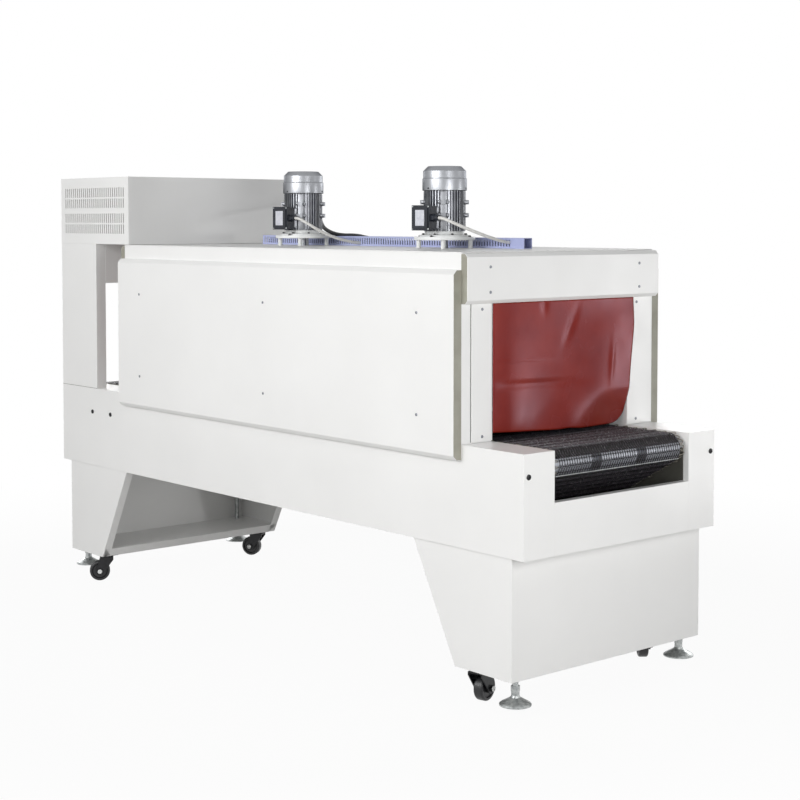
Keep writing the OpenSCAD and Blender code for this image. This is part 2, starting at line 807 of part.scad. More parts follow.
module infeed_front_fork() { at_castor(infeed_front) fork(); }
module infeed_front_wheel() { at_castor(infeed_front) wheel(); }
module infeed_rear_fork() { at_castor(infeed_rear) fork(); }
module infeed_rear_wheel() { at_castor(infeed_rear) wheel(); }
module exit_front_fork() { at_castor(exit_front) fork(); }
module exit_front_wheel() { at_castor(exit_front) wheel(); }
module exit_rear_fork() { at_castor(exit_rear) fork(); }
module exit_rear_wheel() { at_castor(exit_rear) wheel(); }

// Bell pad with a neck, locknut and threaded rod up to the bed, for a foot lifted off the floor
module levelling_foot(lift) {
  nut_z = lift + pad_h + neck_h;
  translate([0, 0, lift]) rotate_extrude() polygon([
    [0, 0], [pad_r, 0], [pad_r, pad_rim_h / 2], [pad_r - pad_rim_w, pad_rim_h],
    [neck_r + pad_flare_w, pad_h - pad_flare_h], [neck_r, pad_h],
    [neck_r, pad_h + neck_h], [0, pad_h + neck_h]
  ]);
  translate([0, 0, nut_z]) cylinder(r = locknut_r, h = locknut_h, $fn = 6);
  translate([0, 0, nut_z]) cylinder(r = rod_r, h = bed_z0 - nut_z);
}

module levelling_feet() {
  color(steel) for (c = corners)
    translate([c[0] * (x_out - foot_x), c[1] * (bed_w / 2 - foot_y), 0]) levelling_foot(c[3]);
}

bed_front_side();
bed_rear_side();
bed_pan();
conveyor_belt();
belt_drums();
exit_leg_front();
exit_leg_rear();
exit_leg_end();
exit_leg_shelf();
infeed_leg_front();
infeed_leg_rear();
infeed_leg_end();
infeed_leg_shelf();
tunnel_front_wall();
tunnel_rear_wall();
tunnel_roof();
front_heat_shield();
rear_heat_shield();
exit_hood();
infeed_hood();
exit_posts();
infeed_posts();
exit_curtain();
infeed_curtain();
portal_front_column();
portal_rear_column();
portal_lintel();
control_box();
louvre_panel_front();
louvre_panel_rear();
motor_1_plate();
motor_1_casing();
motor_1_cowl();
motor_1_terminal_box();
motor_2_plate();
motor_2_casing();
motor_2_cowl();
motor_2_terminal_box();
motor_1_lead();
motor_2_lead();
wiring_duct();
control_conduit();
castor_plates();
levelling_feet();
infeed_front_fork();
infeed_front_wheel();
infeed_rear_fork();
infeed_rear_wheel();
exit_front_fork();
exit_front_wheel();
exit_rear_fork();
exit_rear_wheel();
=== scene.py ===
# %% [markdown]
# # A heat shrink tunnel, dressed
# The tunnel's solids arrive as a fixed frame in metres: the origin is on the floor under the middle of
# the bed, +X runs with the belt towards the exit, and -Y faces the front. This lesson leaves every solid
# where it is and gives it its looks. Each new piece is a surface worked out with numpy, because a formula
# shows where every point goes.

# %% Load the frame
import json
import math

import bmesh
import bpy
import numpy as np
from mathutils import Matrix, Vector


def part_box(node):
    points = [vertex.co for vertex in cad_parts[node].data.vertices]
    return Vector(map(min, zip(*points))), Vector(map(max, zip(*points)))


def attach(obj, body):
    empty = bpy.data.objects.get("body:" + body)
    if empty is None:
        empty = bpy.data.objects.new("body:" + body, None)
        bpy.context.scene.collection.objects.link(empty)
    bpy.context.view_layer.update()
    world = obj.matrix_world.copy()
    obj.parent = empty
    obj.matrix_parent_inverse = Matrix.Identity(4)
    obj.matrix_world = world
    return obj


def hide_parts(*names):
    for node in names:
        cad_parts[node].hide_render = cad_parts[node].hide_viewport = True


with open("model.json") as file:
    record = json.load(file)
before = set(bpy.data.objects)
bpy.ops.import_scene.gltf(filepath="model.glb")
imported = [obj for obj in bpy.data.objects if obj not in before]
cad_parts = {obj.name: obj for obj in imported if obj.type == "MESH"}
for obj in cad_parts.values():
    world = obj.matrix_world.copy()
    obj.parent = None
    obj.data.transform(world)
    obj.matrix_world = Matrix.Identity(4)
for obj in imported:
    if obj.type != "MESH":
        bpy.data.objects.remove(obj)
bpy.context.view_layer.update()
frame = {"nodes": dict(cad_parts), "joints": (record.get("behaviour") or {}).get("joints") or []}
MM = 0.001


def low_high(name):
    """Lowest and highest corner of a solid, as two arrays in metres."""
    low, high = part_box(name)
    return np.array(low), np.array(high)


# %% [markdown]
# ## Putting a surface into a mesh
# A surface on a grid has rows and columns of points, and each cell between four of them is a face. One
# could add vertices one by one with bmesh. Whole arrays are used instead, since a belt has tens of
# thousands of points. A piece may hold many patches: their faces are shifted past the points before.


# %% Faces on a grid
def grid_faces(rows, cols, wrap=False):
    """Cell (i, j) joins the points (i, j), (i, j+1), (i+1, j+1) and (i+1, j); wrap closes the columns."""
    i, j = np.meshgrid(np.arange(rows - 1), np.arange(cols if wrap else cols - 1), indexing="ij")
    k = (j + 1) % cols
    cells = np.stack([i * cols + j, i * cols + k, (i + 1) * cols + k, (i + 1) * cols + j], axis=-1)
    return cells.reshape(-1, 4)


def tube_faces(rows, cols):
    """Faces round a stack of rings, with a flat face over the first and the last ring."""
    ring = np.arange(cols)
    return [grid_faces(rows, cols, wrap=True), np.stack([ring[::-1], (rows - 1) * cols + ring])]


def capped(points):
    """Closed patch from a stack of rings: points is (rings, points a ring, 3)."""
    return points.reshape(-1, 3), tube_faces(*points.shape[:2])


def around(sides):
    """Angles of equal steps round a circle: 2 pi k / sides."""
    return np.arange(sides) * 2 * np.pi / sides


def repeated(points, faces):
    """Copies of one shape: points is (copies, n, 3), and copy c's faces are the shape's plus c times n."""
    copies, n = points.shape[:2]
    shift = np.arange(copies)[:, None, None] * n
    return points.reshape(-1, 3), [(face[None] + shift).reshape(-1, face.shape[1]) for face in faces]


print("a grid of 3 by 4 points has", len(grid_faces(3, 4)), "faces")


# %% A piece from patches
def placed(name, data):
    """A new object in the scene."""
    made = bpy.data.objects.new(name, data)
    bpy.context.scene.collection.objects.link(made)
    return made


def piece(name, patches, finish, body="frame", stands_for=(), sharp=35.0, closed=True):
    """One mesh from (points, list of face arrays) patches; edges sharper than the angle stay sharp."""
    starts = np.cumsum([0] + [len(points) for points, _ in patches])
    faces = [face + start for (_, group), start in zip(patches, starts) for face in group]
    loops = np.concatenate([face.ravel() for face in faces])
    sizes = np.concatenate([np.full(len(face), face.shape[1]) for face in faces])
    mesh = bpy.data.meshes.new(name)
    mesh.vertices.add(starts[-1])
    mesh.vertices.foreach_set("co", np.concatenate([points for points, _ in patches]).ravel())
    mesh.loops.add(len(loops))
    mesh.loops.foreach_set("vertex_index", loops.astype(np.int32))
    mesh.polygons.add(len(sizes))
    mesh.polygons.foreach_set("loop_start", (np.cumsum(sizes) - sizes).astype(np.int32))
    mesh.update(calc_edges=True)
    mesh.validate()
    if closed:
        shell = bmesh.new()
        shell.from_mesh(mesh)
        bmesh.ops.recalc_face_normals(shell, faces=shell.faces)
        shell.to_mesh(mesh)
        shell.free()
    mesh.polygons.foreach_set("use_smooth", np.ones(len(mesh.polygons), bool))
    mesh.set_sharp_from_angle(angle=math.radians(sharp))
    mesh.materials.append(finish)
    made = placed(name, mesh)
    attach(made, body)
    if stands_for:
        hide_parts(*stands_for)
    print("piece", name, len(mesh.polygons), "faces")
    return made


# %% [markdown]
# ## The camera
# The photograph was taken from the front right, below eye level, with a long lens. The place comes from
# matching the bed's and tunnel's corners, and a sensor shift keeps the uprights upright.

# %% Camera
CAMERA_AT = (4.2902, -3.4271, 1.3521)
CAMERA_YAW = 49.36
CAMERA_PITCH = 2.79
LENS = 72.69
SHIFT = (-0.0062, -0.1255)

lens = bpy.data.cameras.new("camera")
lens.sensor_width = 36.0
lens.lens = LENS
lens.shift_x, lens.shift_y = SHIFT
camera = placed("camera", lens)
camera.location = CAMERA_AT
camera.rotation_euler = (math.radians(90 - CAMERA_PITCH), 0.0, math.radians(CAMERA_YAW))
bpy.context.scene.camera = camera
print("camera at", CAMERA_AT)

# %% [markdown]
# ## Finishes
# A finish starts from the material and how its surface was made. Colours are written as they look on a
# screen, in sRGB hex, and one function turns them into linear light. Patterns are measured in
# millimetres: a noise with a scale of one over 2 mm has grains of about 2 mm.


# %% Colour and node helpers
def linear(colour, alpha=1.0):
    """sRGB hex to linear light: c/12.92 for the darkest tones, else ((c + 0.055) / 1.055) to the 2.4."""
    srgb = np.array([int(colour[i : i + 2], 16) for i in (1, 3, 5)]) / 255
    light = np.where(srgb <= 0.04045, srgb / 12.92, ((srgb + 0.055) / 1.055) ** 2.4)
    return (*light.tolist(), alpha)


def node(tree, kind, inputs=None, **settings):
    """Adds one shader node, sets its settings, then fills each input with a value or a linked socket."""
    made = tree.nodes.new("ShaderNode" + kind)
    for name, value in settings.items():
        setattr(made, name, value)
    for socket, value in (inputs or {}).items():
        if isinstance(value, bpy.types.NodeSocket):
            tree.links.new(value, made.inputs[socket])
        else:
            made.inputs[socket].default_value = value
    return made


print("middle grey in linear light:", round(linear("#808080")[0], 3))

# %% A finish in grains
# Most of a noise lies between these two values
NOISE_RANGE = {"From Min": 0.3, "From Max": 0.7}


def mottled(name, tones, tone_mm, rough, rough_mm, bump=None, stretch=(1.0, 1.0, 1.0), **constants):
    """A finish whose tone and roughness drift between two values in grains of the given sizes.

    The bump, if any, is (grain in mm, depth in mm); constants go straight on the shader's sockets.
    """
    material = bpy.data.materials.new(name)
    material.use_nodes = True
    tree = material.node_tree
    shader = tree.nodes["Principled BSDF"]
    place = node(tree, "TexCoord").outputs["Object"]
    spot = node(tree, "Mapping", {"Vector": place, "Scale": stretch}).outputs[0]

    def noise(grain, detail):
        """Cloudy values in grains of so many mm."""
        cloud = {"Vector": spot, "Scale": 1 / (grain * MM), "Detail": detail}
        return node(tree, "TexNoise", cloud).outputs[0]

    drift = node(tree, "MapRange", {"Value": noise(tone_mm, 4.0), **NOISE_RANGE}).outputs[0]
    ends = {0: drift, 6: linear(tones[0]), 7: linear(tones[1])}
    tone = node(tree, "Mix", ends, data_type="RGBA")
    tree.links.new(tone.outputs[2], shader.inputs["Base Color"])
    spread = {"Value": noise(rough_mm, 3.0), **NOISE_RANGE, "To Min": rough[0], "To Max": rough[1]}
    tree.links.new(node(tree, "MapRange", spread).outputs[0], shader.inputs["Roughness"])
    if bump:
        grain, depth = bump
        relief = {"Height": noise(grain, 2.0), "Distance": depth * MM, "Strength": 0.5}
        tree.links.new(node(tree, "Bump", relief).outputs[0], shader.inputs["Normal"])
    for socket, value in constants.items():
        shader.inputs[socket.replace("_", " ")].default_value = value
    return material


# %% [markdown]
# ### Powder-coated sheet steel
# The housing is folded from steel sheet and powder coated in a near white. Baked powder flows into a
# skin with a faint orange peel of 2 to 3 mm, which softens reflections without making them matt. The
# tone drifts a little over the large panels. Dark grey sheets on the trough's inner walls are painted
# shade, and so are the dull olive strips at the shields' ends and the grey sheets behind the louvres.

# %% Sheet metal
powder_coat = mottled(
    "powder_coated_steel", ("#ececeb", "#f1f1f0"), 420, (0.36, 0.46), 60, bump=(2.5, 0.04),
    IOR=1.5, Coat_Weight=0.2, Coat_Roughness=0.15,
)
# Dull olive painted shade for the gaps at the trays' ends
gap_shade_olive = mottled("painted_gap_shade_olive", ("#918f83", "#a09f93"), 60, (0.5, 0.65), 20)
# Dark grey painted shade for the trough's walls; the columns' foot seams use it too
shade_and_seam_steel = mottled("painted_shade_and_seam_steel", ("#55554e", "#6b6a63"), 90, (0.45, 0.65), 25, Metallic=0.4)
# Grey painted shade for behind the louvres, with a fibre bump
louvre_shade_mat = mottled("louvre_painted_shade_mat", ("#83837f", "#a3a39f"), 6, (0.8, 0.95), 4, bump=(1.5, 0.4))
print("sheet finishes:", len(bpy.data.materials))

# %% [markdown]
# ### Silicone-coated glass cloth
# The curtains are glass cloth coated with iron-red silicone rubber. The coat is smooth, with a rosy sheen
# where it mirrors a lamp. The threads lie 0.8 mm apart, too fine for this view, so a faint grid of bands
# stands for the weave that prints through.

# %% Silicone cloth
silicone = mottled(
    "silicone_coated_glass_cloth", ("#721e14", "#892b1d"), 170, (0.2, 0.3), 80,
    IOR=1.45, Specular_IOR_Level=0.26, Specular_Tint=linear("#ecbcdc"),
)
THREAD_BAND = 18.85 * MM
# The wave node counts 20 radians to a unit of its scale
band_scale = 2 * math.pi / THREAD_BAND / 20
tree = silicone.node_tree
threads = node(tree, "TexCoord").outputs["Object"]
weave = [
    node(tree, "TexWave", {"Vector": threads, "Scale": band_scale}, bands_direction=axis).outputs[0]
    for axis in "YZ"
]
grid = node(tree, "Math", {0: weave[0], 1: weave[1]}, operation="ADD").outputs[0]
printed = node(tree, "Bump", {"Height": grid, "Distance": 0.03 * MM, "Strength": 0.25}).outputs[0]
tree.links.new(printed, tree.nodes["Principled BSDF"].inputs["Normal"])
print("silicone with a weave")

# %% [markdown]
# ### Steel wire, bright and burnt
# The belt's wire is drawn steel under a brown-black skin of oxide and burnt film, smooth enough to glint
# where it turns away from the eye. Its edge loops rub along the bed, which leaves them a patchy grey.
# Drums are turned steel with a grain drawn out along the shaft, duller than the small screws, and the
# feet are zinc plated with a cloudy bloom.

# %% Wire and steel
burnt_wire = mottled("heat_blackened_steel_wire", ("#29272b", "#5f5b61"), 8, (0.16, 0.3), 9, IOR=1.7)
# Near black painted shade for the belt's hidden layers, also the colour of the post seams' dark joints
shade_and_seam_black = mottled("painted_shade_and_seam_black", ("#0c0b0b", "#161414"), 60, (0.7, 0.9), 20, Specular_IOR_Level=0.2)
rubbed_wire = mottled("rubbed_steel_wire", ("#48443c", "#a8a398"), 7, (0.22, 0.4), 5, Metallic=0.8)
turned_steel = mottled(
    "turned_steel", ("#7c7f85", "#92959b"), 30, (0.24, 0.38), 6, stretch=(1, 0.1, 1), Metallic=0.95,
)
drum_steel = mottled(
    "turned_drum_steel", ("#9da0a7", "#b4b7be"), 30, (0.42, 0.55), 6, stretch=(1, 0.1, 1), Metallic=0.95,
)
zinc = mottled(
    "zinc_plated_steel", ("#8d9192", "#bec1c0"), 9, (0.26, 0.44), 7, bump=(1.2, 0.03), Metallic=0.75,
)
print("metal finishes:", len(bpy.data.materials))

# %% [markdown]
# ### Motor castings, plastics and rubber
# The motor's ribbed casing is die-cast aluminium, grey and slightly sandy; its fan cowl is pressed and
# painted silver, so it is smoother. The terminal boxes are moulded ABS, the wiring duct is lilac PVC,
# and the cable sheaths are soft PVC. Castor wheels are black nylon with a hard tread.

# %% Castings and plastics
cast_metal = mottled(
    "die_cast_aluminium", ("#83858a", "#9c9ea2"), 25, (0.3, 0.4), 6, bump=(1.0, 0.06), Metallic=0.9,
)
silver_paint = mottled(
    "silver_painted_pressing", ("#919397", "#9b9da1"), 40, (0.34, 0.37), 14, Metallic=0.95,
    Specular_Tint=linear("#8a8a8c"),
)
pale_plate = mottled("zinc_painted_plate", ("#e4e6e6", "#f0f1f0"), 40, (0.35, 0.5), 8)
black_abs = mottled(
    "moulded_black_abs", ("#1a1d24", "#292d36"), 20, (0.3, 0.45), 6, bump=(0.9, 0.04), IOR=1.4,
)
duct_pvc = mottled(
    "extruded_lilac_pvc", ("#a7aed6", "#b9c0e1"), 60, (0.35, 0.5), 10, stretch=(0.2, 1, 1), IOR=1.53,
)
wire_pvc = mottled("blue_black_wire_sheath", ("#23243a", "#3a3c5c"), 30, (0.4, 0.55), 5, IOR=1.53)
grey_sheath = mottled("grey_pvc_cable_sheath", ("#d4d3cf", "#e4e3e0"), 15, (0.42, 0.55), 5, IOR=1.53)
black_sheath = mottled("black_pvc_hose", ("#111113", "#1f1f23"), 15, (0.4, 0.6), 5, IOR=1.53)
black_zinc = mottled("black_zinc_castor_steel", ("#0f0f11", "#1f1f22"), 10, (0.28, 0.45), 6, Metallic=0.3)
hard_tread = mottled(
    "moulded_black_tread", ("#0e0e10", "#1d1d20"), 8, (0.32, 0.5), 4, bump=(1.5, 0.06), IOR=1.5,
)
plate_blank = mottled("blank_aluminium_plate", ("#c6c8d2", "#dcdde3"), 12, (0.3, 0.45), 5, Metallic=0.2)
print("finishes:", len(bpy.data.materials))

# %% [markdown]
# ### Dressing the solids
# Most solids already have the real shape. Sheet metal is never knife sharp, though: a folded edge has a
# radius of about a millimetre and a cut edge a little less, and that is what catches the light. A solid
# comes as loose triangles, so Weld joins them, Decimate dissolves the flat ones into whole faces, and
# Bevel rounds what is left. They are modifiers, so the solid's own mesh stays as it is.


# %% Rounded folds
FOLD_RADIUS = 1.2 * MM
CUT_RADIUS = 0.8 * MM
WELD_GAP = 0.01 * MM
FLAT_ANGLE = math.radians(1.0)
EDGE_ANGLE = math.radians(25.0)


def dress(names, material, radius=None):
    """Gives solids a finish and, where a radius is given, rounds their edges by modifiers."""
    for name in names:
        solid = frame["nodes"][name]
        solid.data.materials.clear()
        solid.data.materials.append(material)
        if radius:
            weld = solid.modifiers.new("join", "WELD")
            weld.merge_threshold = WELD_GAP
            flats = solid.modifiers.new("flats", "DECIMATE")
            flats.decimate_type = "DISSOLVE"
            flats.angle_limit = FLAT_ANGLE
            bevel = solid.modifiers.new("fold", "BEVEL")
            bevel.width = radius
            bevel.segments = 3
            bevel.limit_method = "ANGLE"
            bevel.angle_limit = EDGE_ANGLE
            bevel.harden_normals = True
    print("dressed", len(names), "solids in", material.name)


# %% Solids and their finishes
# Ends and sides, and the way each faces along X or Y
ENDS = {"exit": 1, "infeed": -1}
MOTORS = ["motor_1", "motor_2"]
CORNERS = ["infeed_front", "infeed_rear", "exit_front", "exit_rear"]
SIDES = {"rear": 1, "front": -1}
folded = ["portal_lintel", "control_box", "tunnel_roof"] + [f"{end}_hood" for end in ENDS]
for side in SIDES:
    folded += [f"bed_{side}_side", f"{side}_heat_shield", f"portal_{side}_column", f"tunnel_{side}_wall"]
cut = ["bed_pan"] + [f"{end}_posts" for end in ENDS]
cut += [f"{end}_leg_{side}" for end in ENDS for side in ("front", "rear", "end", "shelf")]
dress(folded, powder_coat, FOLD_RADIUS)
dress(cut, powder_coat, CUT_RADIUS)
dress(["louvre_panel_front", "louvre_panel_rear"], powder_coat)
dress(["belt_drums"], drum_steel)
dress([f"{motor}_plate" for motor in MOTORS], pale_plate, CUT_RADIUS)
dress([f"{motor}_casing" for motor in MOTORS], cast_metal)
dress([f"{motor}_terminal_box" for motor in MOTORS], black_abs, CUT_RADIUS)
dress(["wiring_duct"], duct_pvc)
dress(["castor_plates"] + [f"{corner}_fork" for corner in CORNERS], black_zinc, CUT_RADIUS)
dress([f"{corner}_wheel" for corner in CORNERS], hard_tread)
dress(["levelling_feet"], zinc)

# %% [markdown]
# ## Cables
# Each motor's lead leaves its gland straight, falls in an easy curve past the casing and goes into the
# wiring duct, and a black hose comes from the control box. A cable could be a Curve object with a bevel.
# Here it is a tube, a circle carried along a path, so that its ends and its sheath are plain mesh. A
# route's points are millimetres from the motor's foot or the box's face.

# %% Cable routes
LEAD_ROUTE = [
    (69, -86, 95.5), (82, -85.5, 94.5), (96, -83, 91), (110, -77, 85), (123, -67, 78), (135, -53, 70),
    (146, -34, 61), (156, -13, 52), (165, 10, 43), (173, 33, 35), (180, 56, 28), (184, 78, 22.5),
    (185, 92, 20), (185, 105, 19), (185, 118, 18),
]
# The first motor's lead hangs slacker: its sag in mm at each point of the route
LEAD_SLACK = {
    "motor_1": [0, 0, 0.5, 2, 4.5, 8, 11, 13, 13.5, 13, 11.5, 10, 9, 8.7, 8],
    "motor_2": [0] * 15,
}
LEAD_RADIUS = 5 * MM
HOSE_ROUTE = [
    (28, 330, 150), (60, 330, 149.6), (95, 327.5, 147.5), (135, 319, 143), (180, 302, 137),
    (230, 276, 128.5), (280, 245, 118), (330, 210, 105), (375, 179, 91), (420, 151, 75), (462, 131.5, 59.5),
    (505, 124, 46.5), (548, 122.5, 38.5), (590, 122.5, 35.5), (630, 122.5, 35.5), (670, 122.5, 33.5),
    (705, 122.5, 28.7), (742, 122.5, 24.3), (780, 122.5, 19), (820, 122.5, 14), (860, 122.5, 10.5),
    (900, 122.5, 9.2),
]
HOSE_RADIUS = 7 * MM
print("route points:", len(LEAD_ROUTE), "and", len(HOSE_ROUTE))


# %% Tubes along a path
def smooth_path(points, steps=6):
    """Catmull-Rom curve: between two points a cubic whose end slopes are half their neighbours' span."""
    points = np.asarray(points, float)
    padded = np.vstack([2 * points[0] - points[1], points, 2 * points[-1] - points[-2]])
    before, start, end, after = (padded[i : len(padded) - 3 + i, None] for i in range(4))
    t = np.linspace(0, 1, steps, endpoint=False)[None, :, None]
    cubic = 2 * start + (end - before) * t + (2 * before - 5 * start + 4 * end - after) * t**2
    cubic = cubic + (3 * start - before - 3 * end + after) * t**3
    return np.vstack([cubic.reshape(-1, 3) / 2, points[-1:]])


def tube(path, radius, sides=16):
    """Circle carried along a path: point = path + radius (cos a across + sin a up), closed by end caps."""
    along = np.gradient(path, axis=0)
    along /= np.linalg.norm(along, axis=1, keepdims=True)
    across = np.cross(along, (0.0, 0.0, 1.0))
    across /= np.linalg.norm(across, axis=1, keepdims=True)
    upward = np.cross(across, along)
    a = around(sides)[:, None]
    return capped(path[:, None] + radius * (np.cos(a) * across[:, None] + np.sin(a) * upward[:, None]))


def cable(name, path, radius, finish, node_name):
    """A tube in place of a cord's solid."""
    made = piece(name, [tube(path, radius)], finish, stands_for=[node_name])


# %% Motor leads and control hose
roof_z = low_high("tunnel_roof")[1][2]
motor_axis = {}
for motor in MOTORS:
    low, high = low_high(f"{motor}_cowl")
    motor_axis[motor] = np.array([*(low + high)[:2] / 2, roof_z])
    route = np.array(LEAD_ROUTE) - np.outer(LEAD_SLACK[motor], (0, 0, 1))
    path = smooth_path(motor_axis[motor] + MM * route)
    cable(f"{motor}_lead_sheath", path, LEAD_RADIUS, grey_sheath, f"{motor}_lead")
box_face = low_high("louvre_panel_front")[1][0]
hose_path = smooth_path(np.array([box_face, 0, roof_z]) + MM * np.array(HOSE_ROUTE))
cable("control_hose", hose_path, HOSE_RADIUS, black_sheath, "control_conduit")

# %% [markdown]
# ## The woven belt
# The belt is woven from flat steel spirals threaded on cross rods, every second spiral wound the other
# way, with the rods bent into loops along both edges. It could be a bump pattern, but its nose stands in
# profile, so the wire is real where the belt shows. A strand's place is a distance s along the loop: the
# outward normal turns from up to down, and a point is the sum of small steps at right angles to it. That
# gives drum, slack ramp and bend in one formula. The rods sit inside the spirals and a spiral's way back
# lies under the rods, both in shade, so they are drawn near black as painted shade and go into one piece.

# %% Belt path
SLACK_RUN = 380 * MM
SLACK_RADIUS = 200 * MM
PATH_STEP = 0.25 * MM

belt_low, belt_high = low_high("conveyor_belt")
drum_low, drum_high = low_high("belt_drums")
drum_z = (drum_low[2] + drum_high[2]) / 2
nose_r = belt_high[2] - drum_z
drum_x = belt_high[0] - nose_r
fall = drum_z - belt_low[2] - SLACK_RADIUS
to_bend = math.hypot(SLACK_RUN, fall)
lean = math.atan2(fall, SLACK_RUN) + math.acos((nose_r - SLACK_RADIUS) / to_bend) - math.pi
nose = nose_r * (math.pi / 2 - lean)
ramp = math.sqrt(SLACK_RUN**2 + fall**2 - (SLACK_RADIUS - nose_r) ** 2)
bend = SLACK_RADIUS * (lean + math.pi / 2)
# Where the half top, the nose, the ramp, the bend and half of the floor end
stretch_end = np.cumsum([0.0, drum_x, nose, ramp, bend, drum_x - SLACK_RUN])
steps = np.arange(0, stretch_end[-1], PATH_STEP)
turn = np.interp(steps, stretch_end, [math.pi / 2, math.pi / 2, lean, lean, -math.pi / 2, -math.pi / 2])
belt_x = np.concatenate([[0], np.cumsum(np.sin(turn[:-1]) * PATH_STEP)])
belt_z = belt_high[2] - np.concatenate([[0], np.cumsum(np.cos(turn[:-1]) * PATH_STEP)])
print("belt loop", round(2 * stretch_end[-1], 3), "m, ramp at", round(math.degrees(lean), 1), "degrees")


def on_belt(s, depth, y, end=1):
    """Point at distance s from the top's middle towards an end, depth under the surface, y across."""
    a = np.interp(s, steps, turn)
    x = np.interp(s, steps, belt_x) - depth * np.cos(a)
    z = np.interp(s, steps, belt_z) - depth * np.sin(a)
    return np.stack(np.broadcast_arrays(end * x, y, z), axis=-1)


# %% Spiral wires
ROD_PITCH = 19 * MM
SPIRAL_PITCH = 9.8 * MM
WIRE_RADIUS = 1.05 * MM
WIRE_SIDES = 5
EDGE_INSET = 18 * MM
# A stroke dips by so many mm at these shares of its way from rod to rod
STROKE_SHARE = np.array([0.0, 0.08, 0.3, 0.7, 0.92, 1.0])
STROKE_DIP = np.array([2.4, 0.6, 0, 0, 0.6, 2.4])
# The strand lies in shallow waves, which catch the light by turns
WAVE_HEIGHT = 0.7 * MM
WAVE_LENGTH = 58 * MM
rod_half = belt_high[1] - EDGE_INSET


def ripple(s):
    """Depth of the strand's waves at s."""
    return WAVE_HEIGHT * (1 + np.sin(2 * np.pi * s / WAVE_LENGTH))


def rows_between(first, last):
    """Numbers of the rows of spirals that lie between two places on the strand."""
    return np.arange(math.floor(first / ROD_PITCH), math.ceil(last / ROD_PITCH))


def spirals(first, last, end, under=0.0, way=1):
    """Strokes from rod to rod: each dips at both ends and leans half a pitch, left and right by turns.

    The wire's way back lies deeper by under and leans the other way, with its dips turned up.
    """
    row = rows_between(first, last)
    reach = rod_half - SPIRAL_PITCH / 2
    column = np.linspace(-reach, reach, round(2 * reach / SPIRAL_PITCH))
    side = way * np.where(row % 2, 1, -1)[:, None, None]
    s = ((row[:, None] + STROKE_SHARE) * ROD_PITCH)[:, None, :, None]
    lean_to = SPIRAL_PITCH / 2 * (side * (STROKE_SHARE - 0.5) + (way < 0))
    y = (column[None, :, None] + lean_to)[..., None]
    a = math.pi / 2 + around(WIRE_SIDES)
    dip = way * STROKE_DIP * MM + WIRE_RADIUS + under
    depth = dip[:, None] - WIRE_RADIUS * np.sin(a) + ripple(s)
    points = on_belt(s, depth, y + WIRE_RADIUS * np.cos(a), end)
    rings = len(STROKE_SHARE)
    return repeated(points.reshape(-1, rings * WIRE_SIDES, 3), tube_faces(rings, WIRE_SIDES))


print("spirals across:", round(2 * rod_half / SPIRAL_PITCH))

# %% Cross rods and edge loops
ROD_DEPTH = 3.4 * MM
ROD_SIDES = 6
LOOP_RADIUS = 1.4 * MM
LOOP_REACH = 7.5 * MM
LOOP_BULGE = 16 * MM
LOOP_POWER = 0.7
LOOP_RINGS = 7
# Odd rows' loops stand up and even rows' hang down, by so many mm
LOOP_LIFT = (2.0, -1.0)


def cross_rods(first, last, end):
    """Rods across the belt, one to each row of spirals and one more, six sided."""
    row = rows_between(first, last)
    s = np.append(row, row[-1] + 1)[:, None, None] * ROD_PITCH
    y = np.array([-1, 1])[:, None] * rod_half
    a = around(ROD_SIDES)
    depth = ROD_DEPTH - WIRE_RADIUS * np.sin(a) + ripple(s)
    points = on_belt(s + WIRE_RADIUS * np.cos(a), depth, y, end)
    return repeated(points.reshape(-1, 2 * ROD_SIDES, 3), tube_faces(2, ROD_SIDES))


def edge_loops(first, last, end):
    """Hairpins at the rods' ends: s swings by cos, y bulges by a power of sin, which keeps the arms long."""
    row = rows_between(first, last)[:, None, None, None]
    swing = np.linspace(0, math.pi, LOOP_RINGS)[:, None]
    bulge = np.maximum(np.sin(swing), 0) ** LOOP_POWER
    a = around(WIRE_SIDES)
    side = np.array([-1, 1])[None, :, None, None]
    middle = (row + 0.5) * ROD_PITCH
    s = middle - (LOOP_REACH + LOOP_RADIUS * np.cos(a)) * np.cos(swing)
    out = rod_half + (LOOP_BULGE + LOOP_RADIUS * np.cos(a)) * bulge
    lift = np.where(row % 2, *LOOP_LIFT) * MM * bulge
    depth = ROD_DEPTH - lift - LOOP_RADIUS * np.sin(a) + ripple(middle)
    points = on_belt(s, depth, side * out, end)
    return repeated(points.reshape(-1, LOOP_RINGS * WIRE_SIDES, 3), tube_faces(LOOP_RINGS, WIRE_SIDES))


# %% The belt where it shows
SHOWN_FROM = {"exit": 0.93, "infeed": 0.70}
SHOWN_RAMP = 0.19
RETURN_DEPTH = 3.6 * MM
ramp_start = stretch_end[2]
for end_name, end in ENDS.items():
    span = (SHOWN_FROM[end_name], ramp_start + SHOWN_RAMP, end)
    piece(f"{end_name}_belt_spirals", [spirals(*span)], burnt_wire, sharp=80)
    # Rods and the spirals' way back: near black painted shade inside the belt
    rods = [cross_rods(*span), spirals(*span, under=RETURN_DEPTH, way=-1)]
    piece(f"{end_name}_belt_rods", rods, shade_and_seam_black, sharp=80)
    piece(f"{end_name}_belt_edges", [edge_loops(*span)], rubbed_wire, sharp=80)

# %% [markdown]
# Behind the wire lie the spirals' undersides, which lie in shade. A black band under the surface is
# painted shade for them along the top, the upper nose, the ramps and the floor, and leaves the drums open
# to view where light falls in from the end. One closing rod, put in last to join the belt's two ends, is
# still bright.

# %% Belt underside and closing rod
BAND_DEPTH = (7.4 * MM, 8 * MM)
DRUM_SHOWS_FROM = 28.0
CLOSING_ANGLE = -42.0
CLOSING_RADIUS = 1.3 * MM
CLOSING_SIDES = 7
BEAD_PITCH = 9.8 * MM
BEAD_RISE = 0.5


